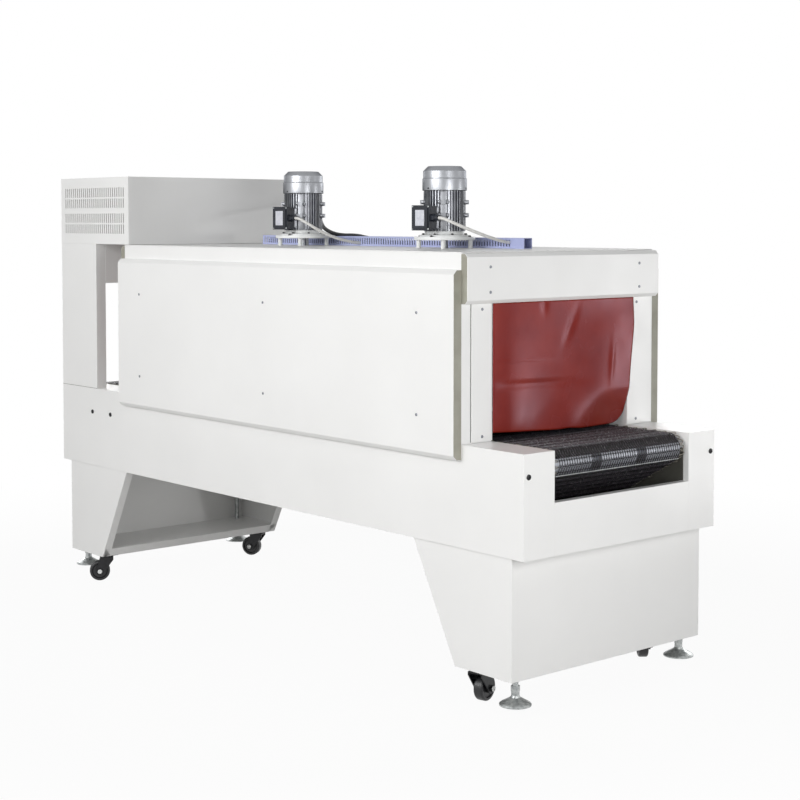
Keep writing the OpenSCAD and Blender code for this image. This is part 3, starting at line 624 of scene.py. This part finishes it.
def band(s, end=1):
    """A flat strip along the belt: four corners at each s, two depths by two edges, closed at the ends."""
    depth = np.repeat(BAND_DEPTH, 2)
    y = np.array([1, -1, -1, 1]) * rod_half
    return capped(on_belt(s[:, None], depth, y, end))


shaded_nose = nose_r * math.radians(90 - DRUM_SHOWS_FROM)
top_half = np.append(0.0, np.linspace(drum_x, drum_x + shaded_nose, 16))
under_half = np.linspace(ramp_start, stretch_end[-1] - PATH_STEP, 40)
# A black band of painted shade under the wire
piece(
    "belt_underside_shade", [band(half, end) for half in (top_half, under_half) for end in (1, -1)], shade_and_seam_black,
    stands_for=["conveyor_belt"],
)
closing_s = stretch_end[1] + nose_r * math.radians(90 - CLOSING_ANGLE)
along = np.linspace(-1, 1, 260) * rod_half
a = around(CLOSING_SIDES)
beads = CLOSING_RADIUS * (1 + BEAD_RISE * np.sin(2 * np.pi * along / BEAD_PITCH))[:, None]
rod = on_belt(closing_s + beads * np.cos(a), CLOSING_RADIUS - beads * np.sin(a), along[:, None])
piece("belt_closing_rod", [capped(rod)], zinc, sharp=80)

# %% [markdown]
# ## The curtains
# A silicone curtain hangs under its hood, before the post plates. It is stiff, so it hangs in long
# shallow waves, and its free edge draws in towards the hem, where the corner is worn round. Cloth
# simulation would droop it too softly, so the sheet is a grid: waves and folds grow towards the hem, a
# slope rises to a shoulder line beside the free edge, the corner swings in, and the last centimetres of
# the corner are pressed from a square into a quarter disc.

# %% Curtains
CURTAIN_THICK = 1.6 * MM
CORNER_ROUND = 0.10
HEM_RISE = 17
EDGE_DRAW = 25
CORNER_SWING = 30
LAP = 4
SHEET_ROWS, SHEET_COLS = 90, 110
# The shoulder's height in mm, and its line: the share across at each share of the way down
SHOULDER_RISE = 8
SHOULDER_V = (0.0, 0.1, 0.3, 0.6, 0.7, 0.8, 0.9, 1.0)
SHOULDER_U = (0.97, 0.94, 0.88, 0.85, 0.81, 0.75, 0.66, 0.57)


def ease(x):
    """Smooth step from 0 to 1."""
    x = np.clip(x, 0, 1)
    return x * x * (3 - 2 * x)


def ridge(distance, width):
    """A soft ridge, 1 on the line where distance is 0."""
    return np.exp(-((distance / width) ** 2))


# %% Curtain sheets
def curtain_sheet(node_name, end):
    """Grid over (u, v), across and down: a place on the flat sheet plus waves, folds and the corner."""
    low, high = low_high(node_name)
    u, v = np.meshgrid(np.linspace(0, 1, SHEET_COLS), np.linspace(0, 1, SHEET_ROWS), indexing="xy")
    a, b = (np.clip((w - 1) / CORNER_ROUND + 1, 0, 1) for w in (u, v))
    squeeze = np.maximum(a, b) / np.maximum(np.hypot(a, b), 1e-9)
    inside = (a > 0) & (b > 0)
    u = np.where(inside, 1 - CORNER_ROUND + CORNER_ROUND * a * squeeze, u)
    v = np.where(inside, 1 - CORNER_ROUND + CORNER_ROUND * b * squeeze, v)
    free = ease((u - 0.5) / 0.5)
    low_corner = free * ease((v - 0.68) / 0.32)
    # The waves keep clear of the post plates, which stand behind both edges; heights are in mm
    clear = ease(u / 0.12) * ease((0.93 - u) / 0.1)
    wave = 3 * ridge(u - 0.12, 0.1) * v - 4 * ridge(u - 0.36, 0.16) * v
    short_of = np.interp(v, SHOULDER_V, SHOULDER_U) - u
    shoulder = SHOULDER_RISE * ease(1 - short_of / 0.4) * ease(v / 0.25)
    fold = 2 * ridge(u - 0.85, 0.02) * ridge(v - 0.5, 0.16)
    crease = 1.3 * ridge(v - 0.45, 0.012) * ease(2 - 4 * u)
    crease -= 3.5 * ridge(v - 0.64, 0.035) * ease(2.2 - 3 * u)
    dent = 1.6 * ridge(u - 0.35, 0.02) * ridge(v - 0.03, 0.06)
    dent += 2.2 * ridge(u + 0.3 * v - 0.6, 0.025) * ridge(v - 0.2, 0.12)
    proud = clear * (wave + fold + crease - dent) + shoulder - CORNER_SWING * low_corner
    x = abs(low[0] + high[0]) / 2 + MM * proud
    hem = low[2] + MM * (HEM_RISE * (1 - u) - 5 * np.sin(np.pi * u) + 3 * ridge(u - 0.52, 0.05))
    z = high[2] + v * (hem - high[2])
    across = np.array([low[1], high[1]])[::end] * end - MM * np.array([LAP, 0])
    y = across[0] + u * (across[1] - across[0]) - MM * EDGE_DRAW * free * ease(v / 0.8)
    points = np.stack([end * x, end * y, z], axis=-1).reshape(-1, 3)
    sheet = piece(
        f"{node_name}_cloth", [(points, [grid_faces(SHEET_ROWS, SHEET_COLS)])], silicone,
        stands_for=[node_name], closed=False, sharp=180,
    )
    thick = sheet.modifiers.new("thickness", "SOLIDIFY")
    thick.thickness = CURTAIN_THICK
    thick.offset = 0.0


for end_name, end in ENDS.items():
    curtain_sheet(f"{end_name}_curtain", end)

# %% [markdown]
# ## The blower motors
# The fan cowl is a deep pressing: a skirt, a small step, an upper band and a bevelled crown with a ring
# of air slots. A profile turned round the axis gives the outside, and on the crown the grid dips where a
# slot is. The columns crowd together at the slots' edges, so that the walls come out steep.

# %% Turned profiles
def rounded(corners, radius, steps=4):
    """A profile with each inner corner cut back by the radius and replaced by a smooth curve of steps."""
    p = np.asarray(corners, float)
    before, after = p[:-2] - p[1:-1], p[2:] - p[1:-1]
    start, end = (
        p[1:-1, None] + (way / np.linalg.norm(way, axis=1, keepdims=True) * radius)[:, None]
        for way in (before, after)
    )
    t = np.linspace(0, 1, steps)[None, :, None]
    arcs = (1 - t) ** 2 * start + 2 * t * (1 - t) * p[1:-1, None] + t**2 * end
    return np.vstack([p[:1], arcs.reshape(-1, 2), p[-1:]])


def turned(profile, axis, angles):
    """A profile of (radius, height) turned round an upright axis: one row a profile point."""
    r, h = profile[:, 0, None], profile[:, 1, None]
    return axis + np.stack(np.broadcast_arrays(r * np.cos(angles), r * np.sin(angles), h), axis=-1)


# %% Fan cowls
COWL_SLOTS = 12
SLOT_SPREAD = np.radians([-15, -9, -3.6, -2.8, 2.8, 3.6, 9])
SLOT_HALF = math.radians(3)
SLOT_RADII = (17 * MM, 42.5 * MM)
SLOT_DEPTH = 5 * MM
COWL_STEP = 2.5 * MM
COWL_BEVEL = 15 * MM
COWL_FOLD = 0.9 * MM
CROWN_EDGE = 46 * MM
CROWN_RADII = np.array([44, 42.8, 42, 30, 17.5, 16.5, 12, 6]) * MM
slot_angles = (around(COWL_SLOTS)[:, None] + SLOT_SPREAD).ravel()
in_slot = np.tile(np.abs(SLOT_SPREAD) < SLOT_HALF, COWL_SLOTS)
for motor in MOTORS:
    low, high = low_high(f"{motor}_cowl")
    radius, height = (high[0] - low[0]) / 2, high[2] - low[2]
    upper = radius - COWL_STEP
    skirt = [
        (radius - 3 * MM, 0.5 * MM), (radius - 2 * MM, 0), (radius, 1.5 * MM), (radius, height / 2 - MM),
        (upper, height / 2 + MM), (upper, height - COWL_BEVEL), (upper - COWL_BEVEL, height),
        (CROWN_EDGE, height),
    ]
    crown = np.column_stack([CROWN_RADII, np.full(len(CROWN_RADII), height)])
    profile = np.vstack([rounded(skirt, COWL_FOLD), crown])
    points = turned(profile, np.array([*motor_axis[motor][:2], low[2]]), slot_angles)
    slot_rows = (profile[:, 0] > SLOT_RADII[0]) & (profile[:, 0] < SLOT_RADII[1])
    points[..., 2] -= SLOT_DEPTH * (slot_rows[:, None] & in_slot)
    piece(
        f"{motor}_fan_cowl", [capped(points)], silver_paint,
        stands_for=[f"{motor}_cowl"], sharp=40,
    )

# %% [markdown]
# Under the ribbed casing the end bell stands on a flange that is bolted to the round plate. Plain
# strips without ribs run down the casing at its four lugs, where feet could be screwed on. The bell is
# another turned profile, and a strip is a short arc of one. Screws, bolts and rivets are all the same
# domed head with a socket, turned round its own axis.

# %% Domed heads
# Shares of the head's radius and height, up to the rim of its socket
HEAD_PROFILE = [(0.3, -0.3), (0.97, -0.3), (1, 0.35), (0.9, 0.72), (0.62, 0.95)]


def heads(centres, axis, radius, height, sides=14, recess=0.3):
    """Domed heads on a face: a profile of (radius, height) turned round the axis at each centre."""
    axis = np.asarray(axis, float)
    first = np.cross(axis, [0.0, 0.0, 1.0] if abs(axis[2]) < 0.9 else [1.0, 0.0, 0.0])
    second = np.cross(axis, first)
    profile = np.array(HEAD_PROFILE + [(recess + 0.06, 1), (recess, 0.4)])
    r, h = profile[:, 0] * radius, profile[:, 1] * height
    a = around(sides)
    ring = np.cos(a)[:, None] * first + np.sin(a)[:, None] * second
    shape, faces = capped(r[:, None, None] * ring + h[:, None, None] * axis)
    return repeated(np.asarray(centres, float)[:, None] + shape, faces)


# %% Bells, strips and bolts
# Profiles of (radius, height) in mm
BELL = [(80, 0), (80, 4.5), (78.5, 6), (66, 6.5), (63.5, 9), (63, 17.5), (61, 18.6), (56, 18.8)]
STRIP = [(57, 2), (66, 3), (66.6, 5), (66.6, 40), (66.6, 84), (66.6, 122), (66, 124), (57, 125)]
STRIP_SPREAD = np.radians(np.linspace(-8, 8, 9))
BELL_FOLD = 0.6 * MM
FINS_ABOVE_PLATE = 18 * MM
LUGS = np.radians([45, 135, 225, 315])
# Bosses beside a lug: places out, across and up in mm
BOSS_OUT, BOSS_ACROSS, BOSS_HEIGHTS = 64, 11, (50, 91)
BOSS_SIZE = (7.5 * MM, 10 * MM)
# Rings of hexagon bolts: radius, height and head radius in mm, first angle in degrees, number
BOLT_RINGS = [(72, 6.2, 4.5, 22.5, 8), (89, 0.0, 5, 20, 4)]
BOLT_HEIGHT = 5 * MM
RIVET_ANGLES = np.radians([-89, 31, 151])
RIVET_HEIGHT = 7 * MM
RIVET_SIZE = (3 * MM, 1.6 * MM, 12)
plate_top = low_high("motor_1_plate")[1][2]
cowl_z = low_high("motor_1_cowl")[0][2]
for motor in MOTORS:
    axis = np.array([*motor_axis[motor][:2], plate_top])
    foot = axis + [0, 0, FINS_ABOVE_PLATE]
    bell = turned(rounded(np.array(BELL) * MM, BELL_FOLD), axis, around(64))
    piece(f"{motor}_end_bell", [capped(bell)], pale_plate, sharp=40)
    strips = [turned(np.array(STRIP) * MM, foot, lug + STRIP_SPREAD).reshape(-1, 3) for lug in LUGS]
    strip_faces = [grid_faces(len(STRIP), len(STRIP_SPREAD))]
    piece(
        f"{motor}_casing_strips", [(points, strip_faces) for points in strips], silver_paint,
        closed=False, sharp=50,
    )
    bosses = []
    for lug in LUGS:
        out = np.array([math.cos(lug), math.sin(lug), 0])
        across = np.array([-math.sin(lug), math.cos(lug), 0])
        at = [
            foot + MM * (BOSS_OUT * out + side * BOSS_ACROSS * across + [0, 0, h])
            for side in (-1, 1) for h in BOSS_HEIGHTS
        ]
        bosses.append(heads(at, out, *BOSS_SIZE))
    piece(f"{motor}_casing_bosses", bosses, cast_metal)
    bolts = []
    for radius, height, head, first, count in BOLT_RINGS:
        at = turned(np.array([(radius, height)]) * MM, axis, math.radians(first) + around(count))[0]
        bolts.append(heads(at, (0, 0, 1), head * MM, BOLT_HEIGHT, 6))
    piece(f"{motor}_flange_bolts", bolts, black_zinc, sharp=30)
    skirt_r = low_high(f"{motor}_cowl")[1][0] - axis[0]
    rivets = []
    for w in RIVET_ANGLES:
        out = np.array([math.cos(w), math.sin(w), 0])
        at = np.array([axis[0], axis[1], cowl_z + RIVET_HEIGHT]) + skirt_r * out
        rivets.append(heads([at], out, *RIVET_SIZE))
    piece(f"{motor}_cowl_screws", rivets, black_zinc)

# %% [markdown]
# A terminal box carries a small bare rating plate on its lid and a screw in each corner. The plate is a
# flat pillow: a grid whose edge rows drop to the lid.

# %% Terminal lids
PLATE_HALF = (21 * MM, 25 * MM)
PLATE_THICK = 0.8 * MM
PLATE_GRID = (-1, -0.97, 0, 0.97, 1)
LID_CORNER = 5 * MM
LID_STEP = 3 * MM
LID_SCREW_SIZE = (3.2 * MM, 2.4 * MM, 12)
for motor in MOTORS:
    low, high = low_high(f"{motor}_terminal_box")
    lid_x = motor_axis[motor][0]
    half_lid = lid_x - low[0]
    mid_z = (low[2] + high[2]) / 2
    u, v = np.meshgrid(PLATE_GRID, PLATE_GRID, indexing="xy")
    proud = np.where(np.maximum(np.abs(u), np.abs(v)) > 0.98, -0.2 * MM, PLATE_THICK)
    blank = np.stack([lid_x + u * PLATE_HALF[0], low[1] - proud, mid_z + v * PLATE_HALF[1]], axis=-1)
    piece(
        f"{motor}_blank_plate", [(blank.reshape(-1, 3), [grid_faces(*u.shape)])], plate_blank,
        closed=False, sharp=40,
    )
    at = [
        (lid_x + side * (half_lid - LID_CORNER), low[1] + LID_STEP, z)
        for side in (-1, 1) for z in (low[2] + LID_CORNER, high[2] - LID_CORNER)
    ]
    piece(f"{motor}_lid_screws", [heads(at, (0, -1, 0), *LID_SCREW_SIZE)], zinc)

# %% [markdown]
# The hose leaves the control box through a black gland, a hexagon nut and a sleeve. In the duct lie the
# wires that it and the leads bring, which is what shows dark behind the duct's slots.

# %% Hose gland
# Profiles of (radius beyond the hose's, length) in mm
SLEEVE = [(3.4, 0), (3.4, 26), (2, 28.4), (0, 28.4)]
NUT = [(7.4, 0), (7.4, 13), (6, 14.4), (0, 14.4)]
gland_at = np.array([box_face, *hose_path[0][1:]])
gland = []
for profile, sides in ((SLEEVE, 24), (NUT, 6)):
    points = turned(np.array(profile) * MM + [HOSE_RADIUS, 0], np.zeros(3), around(sides))
    gland.append(capped(gland_at + points[..., [2, 1, 0]]))
piece("hose_gland", gland, black_abs, sharp=30)

# %% Duct wires
# Places across and up in the duct in mm
WIRE_LANES = [(6, 7), (13, 6.5), (20, 8), (27, 7), (9, 15), (17, 16), (25, 15.5)]
SHEATH_RADIUS = 3.6 * MM
LANE_ENDS = (30 * MM, 80 * MM)
SWAY = 1.2 * MM
SWAY_LENGTH = 210 * MM
low, high = low_high("wiring_duct")
lane_x = np.linspace(low[0] + LANE_ENDS[0], high[0] - LANE_ENDS[1], 90)
wires = []
for k, (y, z) in enumerate(WIRE_LANES):
    sway = SWAY * np.sin(2 * np.pi * lane_x / SWAY_LENGTH + 1.7 * k)
    lane = np.stack([lane_x, low[1] + y * MM + sway, low[2] + z * MM + 0.6 * np.abs(sway)], axis=-1)
    wires.append(tube(lane, SHEATH_RADIUS, 8))
piece("duct_wires", wires, wire_pvc, sharp=80)

# %% [markdown]
# ## Inside the bed and the control box
# Along the trough the side boxes are enclosed, so dark grey sheets on their inner walls are painted shade,
# which stops short of the white ends. Behind the louvres of the control box a grey sheet is painted shade
# inside the box. Both are thin plates against the solids.

# %% Trough and louvre shade sheets
SHADE_SHEET_THICK = 1.2 * MM
SHADE_SHEET_LIFT = 4 * MM
PAINTED_END = 20 * MM
MAT_SETBACK = 9 * MM
MAT_THICK = 3 * MM
MAT_MARGIN = 8 * MM


def slab(corner, opposite):
    """A box between two opposite corners: a ring of four points at one's height and one at the other's."""
    pick = np.array([[(0, 0, z), (1, 0, z), (1, 1, z), (0, 1, z)] for z in (0, 1)])
    return capped(corner + pick * np.subtract(opposite, corner))


bed_low, bed_high = low_high("bed_rear_side")
pan_low = low_high("bed_pan")[0]
# Dark grey sheets on the trough's inner walls: painted shade of the enclosed side boxes
reach = bed_high[0] - PAINTED_END
shade_sheets = []
for side in (-1, 1):
    foot = (-reach, side * bed_low[1], pan_low[2] + SHADE_SHEET_LIFT)
    shade_sheets.append(slab(foot, (reach, side * (bed_low[1] - SHADE_SHEET_THICK), drum_z)))
piece("trough_shade_sheets", shade_sheets, shade_and_seam_steel)

box_low, box_high = low_high("control_box")
shade_mats = []
for side in (-1, 1):
    y = side * (box_high[1] - MAT_SETBACK)
    foot = (box_low[0] + MAT_MARGIN, y, box_low[2] + MAT_MARGIN)
    shade_mats.append(slab(foot, (box_face - MAT_MARGIN, y - side * MAT_THICK, box_high[2] - MAT_MARGIN)))
# Grey sheets behind the louvres: painted shade inside the control box
piece("louvre_shade_mats", shade_mats, louvre_shade_mat)

# %% [markdown]
# ## Edge strips and seams
# The shields and hoods stand off the housing, and the gaps at their ends lie in shade, which shows as a
# dull olive line. A strip of painted shade closes each gap: one flat face with the outline of the tray's
# end, a hair outside the solid. Beside each post plate a dark seam parts it from the housing's end, and a
# finer one runs round the foot of each portal column, where it stands on the bed.

# %% Tray ends
STRIP_LIFT = 0.3 * MM
SHIELD_BEVEL = 13 * MM
HOOD_BEVEL = 10 * MM
KEPT_EDGE = 1.2 * MM
SEAM = 1.3 * MM


def tray_end(depth, height, bevel):
    """Outline of a tray's end, just inside its edge: six points of (depth, height)."""
    low, high, out, bend = KEPT_EDGE, height - KEPT_EDGE, depth - KEPT_EDGE, depth - bevel
    return np.array([(0, low), (bend, low), (out, bevel), (out, height - bevel), (bend, high), (0, high)])


# %% Edge strips and seams
SEAM_BACK, SEAM_OUT = 1.0 * MM, 0.6 * MM
strips = []
seams = []
for end_name, sx in ENDS.items():
    hood_low, hood_high = low_high(f"{end_name}_hood")
    post_low, post_high = low_high(f"{end_name}_posts")
    inner_x, outer_x = (hood_low[0], hood_high[0])[::sx]
    for side_name, sy in SIDES.items():
        low, high = low_high(f"{side_name}_heat_shield")
        wall_y, face_y = (low[1], high[1])[::sy]
        end_x = (low[0], high[0])[::sx][1] + sx * STRIP_LIFT
        deep, up = tray_end(abs(face_y - wall_y), high[2] - low[2], SHIELD_BEVEL).T
        cover = np.column_stack([np.full(6, end_x), wall_y + sy * deep, low[2] + up])
        strips.append((cover[:: sx * sy], [np.arange(6)[None]]))
        side_y = sy * (hood_high[1] + STRIP_LIFT)
        deep, up = tray_end(abs(outer_x - inner_x), hood_high[2] - hood_low[2], HOOD_BEVEL).T
        cover = np.column_stack([inner_x + sx * deep, np.full(6, side_y), hood_low[2] + up])
        strips.append((cover[:: -sx * sy], [np.arange(6)[None]]))
        back = (inner_x - sx * SEAM_BACK, sy * post_high[1], post_low[2])
        seams.append(slab(back, (inner_x + sx * SEAM_OUT, sy * (post_high[1] + SEAM), post_high[2])))
# Olive strips of painted shade in the gaps at the trays' ends
piece("gap_shade_strips", strips, gap_shade_olive, closed=False)
piece("post_seams", seams, shade_and_seam_black)
column_feet = []
for side_name, sy in SIDES.items():
    low, high = low_high(f"portal_{side_name}_column")
    face_y = (low[1], high[1])[::sy][1]
    back = (low[0], face_y - sy * SEAM_BACK, low[2] - SEAM / 2)
    column_feet.append(slab(back, (high[0], face_y + sy * STRIP_LIFT, low[2] + SEAM / 2)))
piece("column_seams", column_feet, shade_and_seam_steel)

# %% [markdown]
# ## Screws, nuts and threads
# Pan-head screws hold the heat shields, hoods and post plates, dark round bolts close the bed, and each
# castor's axle has a plated nut. The feet's rods are threaded: the radius rises and falls with the height
# less one pitch a turn, which winds the ridge round the rod.

# %% Panel screws and bed bolts
SHIELD_SCREW_X = (-0.643, 0.1035, 0.848)
SHIELD_SCREW_Z = (0.803, 1.093)
HOOD_SCREW = (0.312, (1.153, 1.224))
POST_SCREW = (0.324, (0.747, 1.105))
END_BOLT = (0.382, 0.667)
SIDE_BOLT_X = (-1.027, -0.898)
SIDE_BOLT_Z = 0.641
# Radius and height of a head, and for bolts also its sides and the socket's share
SCREW_SIZE = (4.5 * MM, 2 * MM)
BOLT_SIZE = (8 * MM, 4 * MM, 16, 0.4)
shield_y = low_high("rear_heat_shield")[1][1]
screws = []
bolts = []
for side in (-1, 1):
    at = [(x, side * shield_y, z) for x in SHIELD_SCREW_X for z in SHIELD_SCREW_Z]
    screws.append(heads(at, (0, side, 0), *SCREW_SIZE))
    at = [(x, side * bed_high[1], SIDE_BOLT_Z) for x in SIDE_BOLT_X]
    bolts.append(heads(at, (0, side, 0), *BOLT_SIZE))
for end_name, end in ENDS.items():
    for node_name, (across, heights) in (("hood", HOOD_SCREW), ("posts", POST_SCREW)):
        face_x = np.abs(np.array(low_high(f"{end_name}_{node_name}"))[:, 0]).max()
        at = [(end * face_x, y * across, z) for y in (-1, 1) for z in heights]
        screws.append(heads(at, (end, 0, 0), *SCREW_SIZE))
    at = [(end * bed_high[0], y * END_BOLT[0], END_BOLT[1]) for y in (-1, 1)]
    bolts.append(heads(at, (end, 0, 0), *BOLT_SIZE))
piece("panel_screws", screws, turned_steel)
piece("bed_bolts", bolts, black_zinc)

# %% Axle nuts
AXLE_END = 30.6 * MM
NUT_SIZE = (8.2 * MM, 3 * MM, 16, 0.45)
for corner_name in CORNERS:
    roll = next(joint for joint in frame["joints"] if joint["name"] == f"{corner_name}_roll")
    middle, axle = np.array(roll["pos_m"]), np.array(roll["axis"])
    nuts = [heads([middle + side * AXLE_END * axle], side * axle, *NUT_SIZE) for side in (-1, 1)]
    piece(f"{corner_name}_axle_nuts", nuts, pale_plate, body=f"{corner_name}_castor")

# %% Foot threads
THREAD_PITCH = 2.5 * MM
THREAD_RADIUS = 8.05 * MM
THREAD_RISE = 0.55 * MM
FOOT_RADIUS = 45 * MM
# The exit's front foot is screwed further down, so more of its thread shows
THREAD_FROM, LOW_THREAD_FROM = 94 * MM, 78 * MM
low, high = low_high("levelling_feet")
a = around(16)
threads = []
for sx in (-1, 1):
    for sy in (-1, 1):
        axis = np.array([sx * (high[0] - FOOT_RADIUS), sy * (high[1] - FOOT_RADIUS), 0])
        start = LOW_THREAD_FROM if (sx, sy) == (1, -1) else THREAD_FROM
        h = np.arange(start, high[2], THREAD_PITCH / 4)[:, None]
        phase = h / THREAD_PITCH - a / (2 * np.pi)
        r = THREAD_RADIUS + THREAD_RISE * np.abs(2 * (phase % 1) - 1)
        ring = np.stack(np.broadcast_arrays(r * np.cos(a), r * np.sin(a), h), axis=-1)
        threads.append(capped(axis + ring))
piece("foot_threads", threads, zinc, sharp=80)

# %% [markdown]
# ## The stage
# The photograph's ground is plain white, so rays that come straight from the camera, or by way of a
# mirror or glass, see white, while lamps and a dimmer surround do the lighting. Near the object the
# floor still takes a soft shadow. A broad lamp faces the front and a nearer one the exit, so that the
# exit end is bright and the far box falls to grey. Two more light the rear and the infeed end. Narrow
# strips are there for their mirror images, one in the motors' metal and one in the curtain's coat.

# %% Floor
FLOOR_SIZE = 60.0
# The shadow fades out between these distances, and is no stronger than this share
SHADOW_REACH = (1.6, 3.2)
SHADOW_SHARE = 0.05


def seen_directly(tree):
    """1 for rays from the camera and for mirror and glass rays, which show the white ground."""
    rays = node(tree, "LightPath").outputs
    seen = rays["Is Camera Ray"]
    for kind in ("Is Glossy Ray", "Is Transmission Ray"):
        seen = node(tree, "Math", {0: seen, 1: rays[kind]}, operation="MAXIMUM").outputs[0]
    return seen


corner = np.array([[-1, -1, 0], [1, -1, 0], [1, 1, 0], [-1, 1, 0]]) * FLOOR_SIZE / 2
floor_mesh = bpy.data.meshes.new("floor")
floor_mesh.from_pydata(corner.tolist(), [], [(0, 1, 2, 3)])
floor = placed("floor", floor_mesh)

pale_floor = bpy.data.materials.new("pale_studio_floor")
pale_floor.use_nodes = True
tree = pale_floor.node_tree
tree.nodes.clear()
place = node(tree, "TexCoord").outputs["Object"]
reach = node(tree, "VectorMath", {0: place}, operation="LENGTH").outputs["Value"]
fade = node(
    tree, "MapRange",
    {"Value": reach, "From Min": SHADOW_REACH[0], "From Max": SHADOW_REACH[1], "To Min": 1 - SHADOW_SHARE},
).outputs[0]
white = node(tree, "Math", {0: fade, 1: seen_directly(tree)}, operation="MULTIPLY").outputs[0]
matt = node(tree, "BsdfDiffuse", {"Color": linear("#b8b7b5")}).outputs[0]
glow = node(tree, "Emission", {"Color": (1, 1, 1, 1), "Strength": 1.0}).outputs[0]
mixed = node(tree, "MixShader", {0: white, 1: matt, 2: glow}).outputs[0]
node(tree, "OutputMaterial", {"Surface": mixed})
floor_mesh.materials.append(pale_floor)
print("floor", FLOOR_SIZE, "m wide")

# %% Surround
SURROUND_LIGHT = 0.1
world = bpy.data.worlds.new("surround")
world.use_nodes = True
tree = world.node_tree
tree.nodes.clear()
strength = node(
    tree, "MapRange", {"Value": seen_directly(tree), "To Min": SURROUND_LIGHT, "To Max": 1.0}
).outputs[0]
sky = node(tree, "Background", {"Color": (1, 1, 1, 1), "Strength": strength}).outputs[0]
node(tree, "OutputWorld", {"Surface": sky})
bpy.context.scene.world = world
bpy.context.scene.view_settings.view_transform = "Standard"
print("surround and view transform")

# %% Lamps
# Place, aim, width and height in metres, and power in watts
LAMPS = {
    "front_softbox": ((0.3, -4.4, 2.2), (0.1, 0.0, 0.9), 3.0, 1.7, 124),
    "high_softbox": ((0.0, -2.6, 3.6), (0.0, 0.0, 0.9), 2.4, 1.2, 15),
    "exit_softbox": ((3.1, -0.8, 1.1), (1.1, 0.0, 0.85), 1.1, 1.2, 28),
    "rear_softbox": ((-0.9, 4.6, 2.2), (-0.1, 0.0, 0.9), 3.0, 1.7, 62),
    "infeed_softbox": ((-3.4, 0.4, 1.3), (-1.1, 0.0, 0.9), 1.2, 1.2, 24),
    "key_strip": ((1.76, -2.72, 1.6), (0.3, 0.0, 1.2), 0.5, 0.8, 5.5),
    "sheen_strip": ((3.1, 2.7, 0.75), (1.0, 0.2, 0.85), 0.5, 1.5, 20),
}
for name, (at, aim, width, height, watts) in LAMPS.items():
    lamp = bpy.data.lights.new(name, "AREA")
    lamp.shape = "RECTANGLE"
    lamp.size, lamp.size_y = width, height
    lamp.energy = watts
    holder = placed(name, lamp)
    holder.location = at
    away = np.array(at) - np.array(aim)
    yaw = math.atan2(away[0], -away[1])
    holder.rotation_euler = (math.acos(away[2] / np.linalg.norm(away)), 0.0, yaw)
print("lamps:", len(LAMPS))
